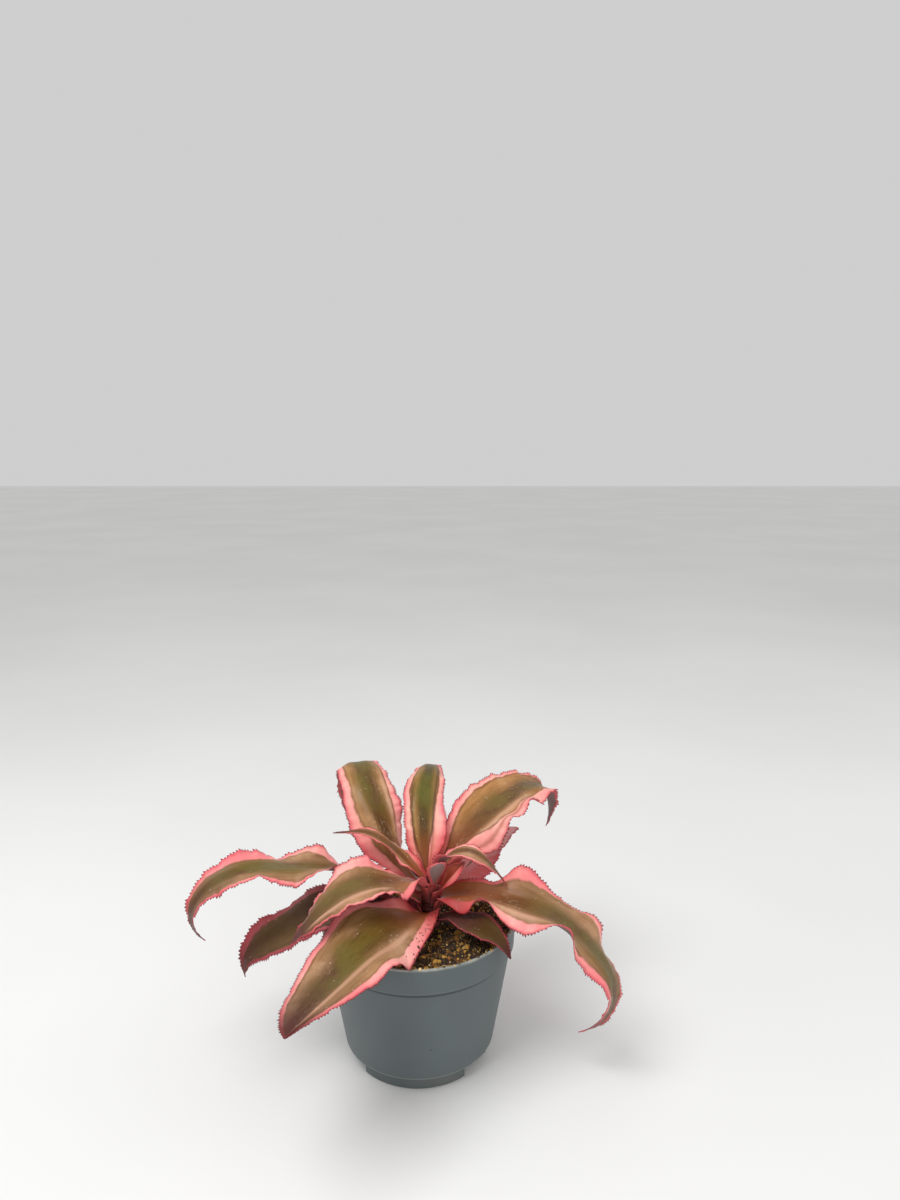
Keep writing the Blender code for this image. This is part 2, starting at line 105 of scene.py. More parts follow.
# Crumbs, grit and fibres on the soil: how many, ranges of size in mm, and seeds
CRUMBS = 900
CRUMB_SIZES = (0.35, 1.2)
CRUMB_SEED = 5
GRIT = 3600
GRIT_SIZES = (0.22, 0.6)
GRIT_SEED = 8
SMALL_IS_COMMON = 2.5
CRUMB_SINK = 0.3
CRUMB_STRETCH = 0.55
CRUMB_LUMP = 0.5
CRUMB_LUMP_SCALE = 1.7
STEM_CLEARANCE = 1.5
RIM_CRUMB_EVERY = 22
RIM_CRUMB_SIZE = 0.45
RIM_CRUMB_REACH = (-0.4, 1.2)
RIM_CRUMB_LIFT = 0.15
RIM_CRUMB_DROP = 0.5
FIBRES = 130
FIBRE_SEED = 11
FIBRE_SIDES = 5
FIBRE_POINTS = 9
FIBRE_BEND = 0.35
FIBRE_LENGTHS = (2.0, 7.0)
FIBRE_RADII = (0.06, 0.16)
FIBRE_ARCHES = (0.1, 1.1)
FIBRE_TONES = (0.6, 1.0)
FIBRE_LIFT = 0.35
FIBRE_ROOM = 3.0
FIBRE_WALL_GAP = 2.0
FIBRE_TIP = 0.06

# Stem, and the clasping sheaths round it, in mm and degrees
STEM_X = 5.0
STEM_RADIUS = 4.0
STEM_TOP_RADIUS = 1.2
STEM_FOOT_Z = 40.0
STEM_SHOULDER_Z = 70.0
STEM_TOP_Z = 84.0
STEM_CAP = 0.6
STEM_SIDES = 48
STEM_RINGS = 90
STEM_RIPPLE = 0.2
STEM_RIPPLE_RATE = 2.2
STEM_INSET = 0.25
STEM_BUMP = 0.25
STEM_BUMP_SCALE = 0.3
SHEATH_LENGTH = 9.0
SHEATH_HALF_TURN = 62.0
SHEATH_NARROWING = 0.35
SHEATH_DROOP = 1.2
SHEATH_OVERLAP = 0.2
SHEATH_FLARE = 1.6
SHEATH_THICKNESS = 0.45
SHEATH_ROWS = 12
SHEATH_COLUMNS = 21

# Leaf blades, in mm
RIB_THICKNESS = 1.1
EDGE_THICKNESS = 0.36
RIB_CURVE = 0.9
THICK_HALF_WIDTH = 4.0
THINNEST_SHARE = 0.45
TIP_HALF_WIDTH = 0.35
CLASP_LENGTH = 11.0
FLAT_SHARE = 0.35
WAVE_CURVE = 1.4
FOLD_CURVE = 1.6
WAVY_HALF_WIDTH = 6.0
RIDGE_FADE = 0.1
SMALL_WIDTH = 15
COLUMNS = 37
COLUMNS_SMALL = 23
COLUMN_SPACING = 0.8
LEAF_SEED = 20
LEAF_SEED_STEP = 10

# Crimps of the margins: three waves, with their pitches as shares of the first length, in mm
CRIMP_HEIGHT = 0.3
CRIMP_PITCH = 7.0
CRIMP_SHARES = (0.55, 1.0, 1.9)
CRIMP_GROWTH = 0.7
CRIMP_DRIFT = 1.5
CRIMP_DRIFT_RATE = 5
CRIMP_START = 0.12
CRIMP_CURVE = 2.2

# Teeth: how far up a tooth each of its rows stands, and sizes in mm
TOOTH_SHAPE = (0.0, 0.55, 1.0)
TOOTH_ROWS = len(TOOTH_SHAPE)
TOOTH_PITCH = 1.3
TOOTH_HEIGHT = 1.0
TOOTH_SPREAD = (0.5, 1.15)
TOOTH_SLANT = 0.45
TOOTH_START = 0.08
TOOTH_LEAST = 0.2
TOOTHED_HALF_WIDTH = 3.0
TOOTH_SEED = 7

# The one leaf with soil on it: how far across it starts and how far along it ends, with fades
SOILED_LEAF = "leaf_front_left"
SOILED_FROM = 0.55
SOILED_FROM_FADE = 0.2
SOILED_TO = 0.45
SOILED_TO_FADE = 0.15

# Each leaf: azimuth of its base round the stem, reach of its base from the stem's axis, height
# of its base, length and width. pitch, turn and roll are degrees at even steps from base to tip:
# pitch climbs above level, turn swings the heading anticlockwise, roll banks the blade. right
# and left are how far each margin stands above or below the blade, in mm at even steps. fold
# lifts both margins along the whole leaf and clasp only round the stem. widest is where along
# the leaf its full width is reached, base is the share of that width at the stem, and taper is
# how late it narrows.
LEAVES = {
    "leaf_low_right": dict(
        azimuth=-43, reach=5.6, height=64.8, length=46, width=17.5,
        pitch=(27, 19, 9, -5, -20, -60), turn=(0, 1, 1), roll=(2, 5, 4, 9),
        right=(0, 0, 1, 2, 0, 0, 0, 1, 0), left=(0, 0, 0, 0, 1, 1, 0, 0, 0),
        fold=0.12, clasp=0.3, widest=0.45, base=0.5, taper=1.6),
    "leaf_low_left": dict(
        azimuth=188, reach=6.0, height=65.2, length=96, width=25.5,
        pitch=(24, 14, -2, -31, -35, -100), turn=(0, -2, 0, 4, 1, 1), roll=(3, 8, 12, 18),
        right=(0, 0, -1, -2, 0, -2, 3, 3, 1), left=(0, 0, -1, -3, -4, -4, -4, -3, 0),
        fold=0.12, clasp=0.4, widest=0.45, base=0.42, taper=1.8),
    "leaf_front_left": dict(
        azimuth=253, reach=5.8, height=69.0, length=104, width=38.0,
        pitch=(24, 17, 0, -10, -8, 3), turn=(0, -17, -17, -12, -11, 8), roll=(-8, 16, -10, -2),
        right=(0, 4, -1, 0, -5, -2, -2, -1, 0), left=(0, -3, -5, -8, -1, -4, -2, 0, 0),
        fold=0.10, clasp=0.3, widest=0.45, base=0.33, taper=2.2),
    "leaf_under_right": dict(
        azimuth=52, reach=5.8, height=67.4, length=84, width=26,
        pitch=(33, 17, 7, 5, -8, -30), turn=(0, 2, 5, 8, 14, 20), roll=(7, 8, 12, 6),
        right=(0, 3, -4, 1, 2, 1, -1, 0), left=(0, -1, 1, -2, 1, -2, 1, 0),
        fold=0.14, clasp=0.4, widest=0.45, base=0.42, taper=1.8),
    "leaf_back_left": dict(
        azimuth=136, reach=5.4, height=74.6, length=122, width=24.5,
        pitch=(26, 43, 42, 10, -62, -92), turn=(0, -5, -17, -27, -10, 7), roll=(-14, -13, -3, 2),
        right=(0, -5, -2, 3, -2, -4, -1, 0, 0), left=(0, -3, -11, -11, -6, -5, -4, -1, 0),
        fold=0.12, clasp=0.4, widest=0.5, base=0.38, taper=2.2),
    "leaf_far_left": dict(
        azimuth=172, reach=5.8, height=71.0, length=130, width=26.0,
        pitch=(32, 22, 12, 9, -43, -140), turn=(0, 9, 28, 38, 26, 18), roll=(-10, -16, 9, 31),
        right=(0, -2, -5, 6, -1, 3, 1, 1, 0), left=(0, 0, 1, 1, -6, 0, -2, 0, -1),
        fold=0.12, clasp=0.4, widest=0.35, base=0.42, taper=1.4),
    "leaf_back_right": dict(
        azimuth=48, reach=5.2, height=79.0, length=116, width=32.0,
        pitch=(54, 31, 15, 3, -46, -128), turn=(0, -3, -1, -1, -1, -3), roll=(2, -1, -3, -6, -45),
        right=(0, 0, 0, -5, -9, -7, 2, -2, 4, -2, -5, -1, 0, 0, 0, 0, 0),
        left=(0, 0, 3, 4, 3, 2, 2, 2, 0),
        fold=0.12, clasp=0.3, widest=0.45, base=0.28, taper=1.6),
    "leaf_right": dict(
        azimuth=-15, reach=6.2, height=75.0, length=128, width=27.0,
        pitch=(22, 1, -9, -35, -60, -113, -147), turn=(0, -5, -2, -4, -7, -13, -21),
        roll=(2, -2, -1, -15),
        right=(0, -7, 4, -5, -5, 6, -4, -5, -1, -1, -1, 0),
        left=(0, 2, 1, 10, 2, -1, 4, -3, 0, 1, 2, 0),
        fold=0.12, clasp=0.3, widest=0.35, base=0.45, taper=1.4),
    "leaf_back": dict(
        azimuth=104, reach=3.0, height=80.0, length=88, width=18.5,
        pitch=(52, 57, 48, 14, -15, -35), turn=(0, -5, -16, -21, -15, -8), roll=(-16, -24, -9, -5),
        right=(0, 3, 8, 3, -3, -3, -4, 0, 0), left=(0, -5, -5, -2, -5, -5, -4, -2, 0),
        fold=0.12, clasp=0.3, widest=0.45, base=0.3, taper=2.2),
    "leaf_left": dict(
        azimuth=217, reach=5.0, height=81.5, length=74, width=29.5,
        pitch=(38, 20, 13, -17, -39, -43), turn=(0, 4, 0, -2, -7, -15), roll=(-8, 4, 0, -2),
        right=(0, -2, 1, 3, 1, -2, -2, -1, 0), left=(0, 2, -5, 1, -1, -1, -1, -1, 0),
        fold=0.12, clasp=0.3, widest=0.4, base=0.3, taper=1.5),
    "leaf_inner_left": dict(
        azimuth=164, reach=2.6, height=82.6, length=52, width=11.0,
        pitch=(42, 42, 36, 16, -8, -8), turn=(0, -1, -3, -2, 3, 5), roll=(0, -3, -3, -2),
        right=(0, 2, 1, -2, -2, 0, 0, -1, 0), left=(0, 0, -1, 1, 1, 0, 0, 0, 0),
        fold=0.14, clasp=0.3, widest=0.4, base=0.45, taper=1.3),
    "leaf_inner_right": dict(
        azimuth=4, reach=2.8, height=81.8, length=49, width=13.0,
        pitch=(80, 58, 22, -26, -50, -56), turn=(0, -9, -16, -18, -13, -6), roll=(3, 5, 2, 3),
        right=(0, 2, 5, 0, -1, -2, -1, 1, 0), left=(0, 1, 0, 0, 0, -1, -2, -1, 0),
        fold=0.12, clasp=0.2, widest=0.4, base=0.26, taper=1.2),
    "leaf_heart_right": dict(
        azimuth=-29, reach=6.4, height=80.0, length=20, width=8.6,
        pitch=(56, 54, 52, 50), turn=(0, 2, 4), roll=(-30, -45, -50),
        right=(0, 0, 0, 0, 0), left=(0, 0, 0, 0, 0),
        fold=0.2, clasp=0.2, widest=0.5, base=0.34, taper=1.6),
    "leaf_heart_front": dict(
        azimuth=-64, reach=4.8, height=83.4, length=14, width=8.6,
        pitch=(56, 64, 70, 78), turn=(0, 2, 4), roll=(0, 4, 8),
        right=(0, 0, 0, 0, 0), left=(0, 0, 0, 0, 0),
        fold=0.2, clasp=0.2, widest=0.7, base=0.3, taper=2.6),
}


def spline(values, t):
    """Smooth curve through evenly spaced values, read at t from 0 to 1."""
    v = np.asarray(values, float)
    last = len(v) - 1
    p = np.concatenate([[2 * v[0] - v[1]], v, [2 * v[-1] - v[-2]]])
    x = np.clip(t, 0, 1) * last
    i = np.minimum(x.astype(int), last - 1)
    f = x - i
    a, b, c, d = p[i], p[i + 1], p[i + 2], p[i + 3]
    return b + 0.5 * f * (c - a + f * (2 * a - 5 * b + 4 * c - d + f * (3 * (b - c) + d - a)))


def directions(leaf, t):
    """Unit vectors at each t: along the blade, across it to its right, and up out of it."""
    pitch = np.radians(spline(leaf["pitch"], t))
    heading = np.radians(leaf["azimuth"] + spline(leaf["turn"], t))
    roll = np.radians(spline(leaf["roll"], t))[:, None]
    along = np.stack([np.cos(pitch) * np.cos(heading), np.cos(pitch) * np.sin(heading),
                      np.sin(pitch)], -1)
    level = np.stack([np.sin(heading), -np.cos(heading), 0 * heading], -1)
    above = np.cross(level, along)
    across = np.cos(roll) * level + np.sin(roll) * above
    up = np.cos(roll) * above - np.sin(roll) * level
    return along, across, up


def midrib(leaf, t, steps=200):
    """Points of the midrib: its base beside the stem, then the directions added up."""
    fine = np.linspace(0, 1, steps + 1)
    along = directions(leaf, fine)[0]
    path = np.cumsum((along[1:] + along[:-1]) / 2 * leaf["length"] / steps, 0)
    azimuth = math.radians(leaf["azimuth"])
    base = np.array([STEM_X + leaf["reach"] * math.cos(azimuth),
                     leaf["reach"] * math.sin(azimuth), leaf["height"]])
    points = np.concatenate([[np.zeros(3)], path]) + base
    return np.stack([np.interp(t, fine, points[:, k]) for k in range(3)], -1)


def half_width(leaf, t):
    """Half the blade's width: it swells from the stem to its widest, then runs to a point."""
    swell = np.sin(np.pi / 2 * np.clip(t / leaf["widest"], 0, 1)) ** 1.5
    rise = leaf["base"] + (1 - leaf["base"]) * swell
    beyond = np.clip((t - leaf["widest"]) / (1 - leaf["widest"]), 0, 1)
    return leaf["width"] / 2 * rise * (1 - beyond ** leaf["taper"]) + TIP_HALF_WIDTH


# Looks of each leaf: age_and_shade darkens it, as the colour of older leaves and as painted shade
# on the low leaves, blush reddens it, seam draws a thin dark line beside the margin and turns the
# bands golden, and crimp is how high its crimps stand. right and left are the width of each pink
# margin in mm, at even steps from base to tip. ridges are (place across, width, height in mm,
# start, end), and a height below 0 makes a hollow.
LOOKS = {
    "leaf_low_right": dict(
        age_and_shade=1.0, blush=0.1, seam=0.0, crimp=0.5,
        right=(0.5, 0.5, 0.5), left=(0.8, 0.8, 0.5), ridges=()),
    "leaf_low_left": dict(
        age_and_shade=0.85, blush=0.1, seam=0.0, crimp=0.8,
        right=(3, 4, 3.5, 2.5, 1), left=(2, 1.5, 1, 0.8), ridges=()),
    "leaf_front_left": dict(
        age_and_shade=0.2, blush=0.1, seam=0.2, crimp=0.45,
        right=(4, 5, 4.5, 3.6, 3, 2, 0.8), left=(4, 5, 5, 4, 3, 1.6, 0.8),
        ridges=((-0.5, 0.05, 0.5, 0.2, 1.1),)),
    "leaf_under_right": dict(
        age_and_shade=0.3, blush=0.4, seam=0.0, crimp=1.0,
        right=(12, 12, 12, 9, 3), left=(12, 12, 12, 9, 3), ridges=()),
    "leaf_back_left": dict(
        age_and_shade=0.2, blush=0.1, seam=0.6, crimp=1.1,
        right=(3, 3.5, 3.5, 3, 2.5, 2, 1), left=(3.5, 3, 3, 3, 2.5, 2, 1),
        ridges=((0.62, 0.08, 0.4, 0.1, 0.6),)),
    "leaf_far_left": dict(
        age_and_shade=0.2, blush=0.1, seam=0.1, crimp=1.0,
        right=(2, 3, 6, 1.5, 4, 2.5, 1, 0.5), left=(1.5, 1.5, 1.5, 1.2, 1.8, 1, 0.8, 0.5),
        ridges=()),
    "leaf_back_right": dict(
        age_and_shade=0.15, blush=0.15, seam=0.8, crimp=1.2,
        right=(4, 6, 7, 5.5, 5.5, 5, 3, 1, 0.5), left=(3, 4, 3, 2.5, 2, 1.5, 1, 0.5),
        ridges=((0.74, 0.07, -0.5, 0.1, 0.62), (0.5, 0.1, 0.5, 0.1, 0.6))),
    "leaf_right": dict(
        age_and_shade=0.15, blush=0.1, seam=0.1, crimp=0.6,
        right=(3, 3.5, 3.4, 3.8, 3.6, 1.5, 2.4, 2.6, 1.5, 0.8, 0.8),
        left=(1, 1.2, 2.4, 3.2, 1.2, 0.8, 1.8, 0.8, 1, 1, 0.6),
        ridges=((0.55, 0.08, 0.4, 0.15, 0.45),)),
    "leaf_back": dict(
        age_and_shade=0.3, blush=0.0, seam=1.0, crimp=1.3,
        right=(3.5, 3.5, 3.5, 3, 2.5, 2, 1), left=(2.5, 2.5, 2.5, 2.5, 2.5, 2, 1),
        ridges=((0.55, 0.07, -0.4, 0.0, 0.8), (-0.6, 0.07, -0.4, 0.0, 0.6))),
    "leaf_left": dict(
        age_and_shade=0.1, blush=0.15, seam=0.2, crimp=1.2,
        right=(3, 4, 5, 4, 2, 1, 0.5), left=(4, 3.5, 2.6, 1.4, 0.8, 0.6, 0.5),
        ridges=((-0.6, 0.08, 0.5, 0.3, 0.9),)),
    "leaf_inner_left": dict(
        age_and_shade=0.45, blush=0.1, seam=0.6, crimp=0.7,
        right=(1.3, 1.2, 1, 0.7, 0.3), left=(1.5, 1.3, 1, 0.7, 0.3), ridges=()),
    "leaf_inner_right": dict(
        age_and_shade=0.3, blush=0.2, seam=0.2, crimp=0.6,
        right=(2, 1.4, 0.8, 0.6, 0.4), left=(2.5, 2.5, 2.2, 1.2, 0.5), ridges=()),
    "leaf_heart_right": dict(
        age_and_shade=0.1, blush=1.0, seam=0.8, crimp=0.3,
        right=(4, 4, 4, 3), left=(0.5, 0.5, 0.5, 0.5), ridges=()),
    "leaf_heart_front": dict(
        age_and_shade=0.1, blush=0.8, seam=0.0, crimp=0.7,
        right=(1.6, 1.5, 1.3, 1.2), left=(1.6, 1.5, 1.3, 1.2), ridges=()),
}


def unit(v):
    """Vectors along the last axis, each scaled to length 1."""
    return v / np.maximum(np.linalg.norm(v, axis=-1, keepdims=True), 1e-9)


def by_side(u, right, left):
    """Grid with one value of right or left in each row, as u is above 0 or not."""
    return np.where((u > 0)[None, :], right[:, None], left[:, None])


def crimps(t, length, seed):
    """Fine uneven ruffle of one margin, in mm: three waves whose pitch drifts along the leaf."""
    rng = np.random.default_rng(seed)
    rise = np.zeros_like(t)
    for share in CRIMP_SHARES:
        turns = length / (CRIMP_PITCH * share)
        start = rng.uniform(0, 2 * np.pi)
        drift = rng.uniform(-CRIMP_DRIFT, CRIMP_DRIFT) * np.sin(CRIMP_DRIFT_RATE * t)
        rise += share ** CRIMP_GROWTH * np.sin(2 * np.pi * turns * t + start + drift)
    return CRIMP_HEIGHT * rise


def blade_grid(name, leaf, t, u, seed):
    """Mid-surface points, directions, half widths and ridge lines on a grid of t and u."""
    look = LOOKS[name]
    along, across, up = directions(leaf, t)
    half = half_width(leaf, t)
    side = np.abs(u)[None, :]
    ramp = np.clip((side - FLAT_SHARE) / (1 - FLAT_SHARE), 0, 1)
    narrow = np.minimum(1, half / WAVY_HALF_WIDTH)
    wave = by_side(u, spline(leaf["right"], t), spline(leaf["left"], t)) * narrow[:, None]
    clasp = leaf["clasp"] * np.exp(-(t * leaf["length"] / CLASP_LENGTH) ** 2)
    fold = ((leaf["fold"] + clasp) * half)[:, None]
    lift = fold * side ** FOLD_CURVE + wave * ramp ** WAVE_CURVE
    fine = look["crimp"] * by_side(u, crimps(t, leaf["length"], seed),
                                   crimps(t, leaf["length"], seed + 1))
    calm = (narrow * np.clip(t / CRIMP_START, 0, 1))[:, None]
    lift = lift + fine * calm * ramp ** CRIMP_CURVE
    lines = np.zeros_like(lift)
    for place, width, height, start, end in look["ridges"]:
        run = np.clip((t - start) / RIDGE_FADE, 0, 1) * np.clip((end - t) / RIDGE_FADE, 0, 1)
        shape = run[:, None] * np.exp(-((u[None, :] - place) / width) ** 2)
        lift = lift + height * shape
        lines = lines + np.sign(height) * shape
    middle = midrib(leaf, t)
    points = (middle[:, None] + across[:, None] * (half[:, None] * u[None, :])[..., None]
              + up[:, None] * lift[..., None])
    return points, along, half, lines


def saw_teeth(points, along, half, t, seed):
    """Draws both margins out into teeth, and returns how far up a tooth each row stands."""
    rng = np.random.default_rng(seed)
    row = np.arange(len(t))
    shape = np.choose(row % TOOTH_ROWS, TOOTH_SHAPE)
    fade = np.minimum(1, half / TOOTHED_HALF_WIDTH) * np.clip(t / TOOTH_START, TOOTH_LEAST, 1)
    for column, inner in ((0, 1), (-1, -2)):
        heights = rng.uniform(*TOOTH_SPREAD, len(t) // TOOTH_ROWS + 1)[row // TOOTH_ROWS]
        outward = unit(points[:, column] - points[:, inner])
        reach = (TOOTH_HEIGHT * heights * shape * fade)[:, None]
        points[:, column] += outward * reach + along * reach * TOOTH_SLANT
    return shape * fade


def quads(grid):
    """Four-sided faces between neighbours in a grid of point numbers."""
    corners = (grid[:-1, :-1], grid[:-1, 1:], grid[1:, 1:], grid[1:, :-1])
    return np.stack(corners, -1).reshape(-1, 4).tolist()


def both_sides(upper, under):
    """Values for a closed blade's points: the upper side's, then the under side's inner ones."""
    size = upper.shape[2:]
    return np.concatenate([upper.reshape(-1, *size), under[:, 1:-1].reshape(-1, *size)])


def blade_faces(rows, columns):
    """Faces of a closed blade: its upper side, its under side, then both ends."""
    upper = np.arange(rows * columns).reshape(rows, columns)
    lower = upper.copy()
    lower[:, 1:-1] = rows * columns + np.arange(rows * (columns - 2)).reshape(rows, columns - 2)
    faces = quads(upper) + [quad[::-1] for quad in quads(lower)]
    for row in (0, rows - 1):
        for j in range(columns - 1):
            ring = (upper[row, j], lower[row, j], lower[row, j + 1], upper[row, j + 1])
            ring = [int(k) for k in dict.fromkeys(ring)]
            faces.append(ring[::-1] if row else ring)
    return faces


def add_object(name, data):
    """A new object in the scene."""
    piece = bpy.data.objects.new(name, data)
    bpy.context.collection.objects.link(piece)
    return piece


def mesh_object(name, verts, faces, *materials, smooth=True):
    """An object in the scene from points in metres, faces and materials."""
    mesh = bpy.data.meshes.new(name)
    mesh.from_pydata(verts, [], faces)
    if smooth:
        mesh.shade_smooth()
    for material in materials:
        mesh.materials.append(material)
    return add_object(name, mesh)


def mark(piece, label, values):
    """Gives each point of a piece a number that its material reads."""
    attribute = piece.data.attributes.new(label, "FLOAT", "POINT")
    attribute.data.foreach_set("value", np.asarray(values, np.float32))


def fine_blade(name, leaf, seed, upper_look, under_look):
    """Closed fine blade with saw teeth, as an object with its colouring attributes."""
    look = LOOKS[name]
    rows = round(leaf["length"] / TOOTH_PITCH) * TOOTH_ROWS + 1
    columns = COLUMNS if leaf["width"] > SMALL_WIDTH else COLUMNS_SMALL
    t = np.linspace(0, 1, rows)
    even = np.linspace(-1, 1, columns)
    u = np.sign(even) * np.abs(even) ** COLUMN_SPACING
    inward = 1 - np.abs(u)
    points, along, half, lines = blade_grid(name, leaf, t, u, seed)
    normal = unit(np.cross(np.gradient(points, axis=1), np.gradient(points, axis=0)))
    tooth = np.zeros((rows, columns))
    tooth[:, 0] = tooth[:, -1] = saw_teeth(points, along, half, t, seed + TOOTH_SEED)

    thick = EDGE_THICKNESS + (RIB_THICKNESS - EDGE_THICKNESS) * inward ** RIB_CURVE
    thin = np.clip(half / THICK_HALF_WIDTH, THINNEST_SHARE, 1)
    thick = thick[None, :, None] * thin[:, None, None]
    thick[:, 0] = thick[:, -1] = 0.0
    verts = both_sides(points + normal * thick / 2, points - normal * thick / 2) * MM
    piece = mesh_object(name + "_fine", verts.tolist(), blade_faces(rows, columns),
                        upper_look, under_look)
    one_side = (rows - 1) * (columns - 1)
    slots = np.zeros(len(piece.data.polygons), np.int32)
    slots[one_side:2 * one_side] = 1
    piece.data.polygons.foreach_set("material_index", slots)

    dirt = 0.0
    if name == SOILED_LEAF:
        dirt = (np.clip((-u - SOILED_FROM) / SOILED_FROM_FADE, 0, 1)[None, :]
                * np.clip((SOILED_TO - t) / SOILED_TO_FADE, 0, 1)[:, None])
    marks = dict(across=u[None, :], along=t[:, None], distance=t[:, None] * leaf["length"],
                 margin=half[:, None] * inward[None, :], tooth=tooth, line=lines, dirt=dirt,
                 pink=by_side(u, spline(look["right"], t), spline(look["left"], t)),
                 age_and_shade=look["age_and_shade"], blush=look["blush"], seam=look["seam"])
    for label, values in marks.items():
        grid = np.broadcast_to(values, (rows, columns))
        mark(piece, label, both_sides(grid, grid))
    return piece


def tone(text):
    """Linear colour of a screen colour written as six hex digits."""
    values = [int(text[k:k + 2], 16) / 255 for k in (0, 2, 4)]
    return (*(v / 12.92 if v <= 0.04045 else ((v + 0.055) / 1.055) ** 2.4 for v in values), 1.0)


class Nodes:
    """Short calls for building a material's node tree."""

    def __init__(self, name):
        self.material = bpy.data.materials.new(name)
        self.material.use_nodes = True
        self.tree = self.material.node_tree
        self.shader = self.tree.nodes["Principled BSDF"]

    def feed(self, node, values):
        """Gives each named input another node's output, a screen colour or a plain value."""
        for name, value in values.items():
            if isinstance(value, bpy.types.NodeSocket):
                self.tree.links.new(value, node.inputs[name])
            else:
                node.inputs[name].default_value = tone(value) if isinstance(value, str) else value

    def node(self, kind, values, **settings):
        node = self.tree.nodes.new("ShaderNode" + kind)
        for name, value in settings.items():
            setattr(node, name, value)
        self.feed(node, values)
        return node

    def attribute(self, name):
        return self.node("Attribute", {}, attribute_name=name).outputs["Fac"]

    def attributes(self, *names):
        return [self.attribute(name) for name in names]

    def place(self):
        return self.node("TexCoord", {}).outputs["Object"]

    def math(self, operation, a, b=0.0, clamp=False):
        return self.node("Math", {0: a, 1: b}, operation=operation, use_clamp=clamp).outputs[0]

    def add(self, a, b):
        return self.math("ADD", a, b)

    def times(self, a, b, clamp=False):
        return self.math("MULTIPLY", a, b, clamp)

    def range(self, value, low, high, to_low=0.0, to_high=1.0):
        """Eases from to_low at low to to_high at high, and stays there beyond them."""
        values = {"Value": value, "From Min": low, "From Max": high, "To Min": to_low,
                  "To Max": to_high}
        return self.node("MapRange", values, interpolation_type="SMOOTHSTEP").outputs[0]

    def between(self, value, start, full, fade, end):
        """1 from full to fade, easing to 0 at start and at end."""
        return self.times(self.range(value, start, full), self.range(value, end, fade))

    def combine(self, x, y, z):
        return self.node("CombineXYZ", {0: x, 1: y, 2: z}).outputs[0]

    def noise(self, vector, scale, detail=3.0, rough=0.5):
        values = {"Vector": vector, "Scale": scale, "Detail": detail, "Roughness": rough}
        return self.node("TexNoise", values).outputs["Fac"]

    def streaks(self, crosswise, lengthwise, age_and_shade_weight, scale, detail, rough):
        """Noise drawn out along a blade, which differs with the leaf's age_and_shade value."""
        vector = self.combine(self.times(self.attribute("across"), crosswise),
                              self.times(self.attribute("distance"), lengthwise),
                              self.times(self.attribute("age_and_shade"), age_and_shade_weight))
        return self.noise(vector, scale, detail, rough)

    def sway(self, value, reach):
        """A noise moved to lie round 0, times reach."""
        return self.times(self.math("SUBTRACT", value, 0.5), reach)

    def dots(self, vector, scale, size):
        """1 inside small scattered spots, 0 outside."""
        cells = self.node("TexVoronoi", {"Vector": vector, "Scale": scale})
        return self.range(cells.outputs["Distance"], size, size * 0.5)

    def mix(self, factor, a, b):
        values = {"Factor": factor, "A": a, "B": b}
        return self.node("Mix", values, data_type="RGBA").outputs["Result"]

    def tint(self, colour, *steps):
        """A colour moved towards one screen colour after another, each by factor times share."""
        for target, factor, share in steps:
            colour = self.mix(self.times(factor, share, True), colour, target)
        return colour

    def finish(self, colour, roughness, height, strength, distance):
        """Joins colour, roughness and bumps to the shader, and returns the material."""
        bump = self.node("Bump", {"Height": height, "Strength": strength, "Distance": distance})
        self.feed(self.shader, {"Base Color": colour, "Roughness": roughness,
                                "Normal": bump.outputs["Normal"]})
        return self.material


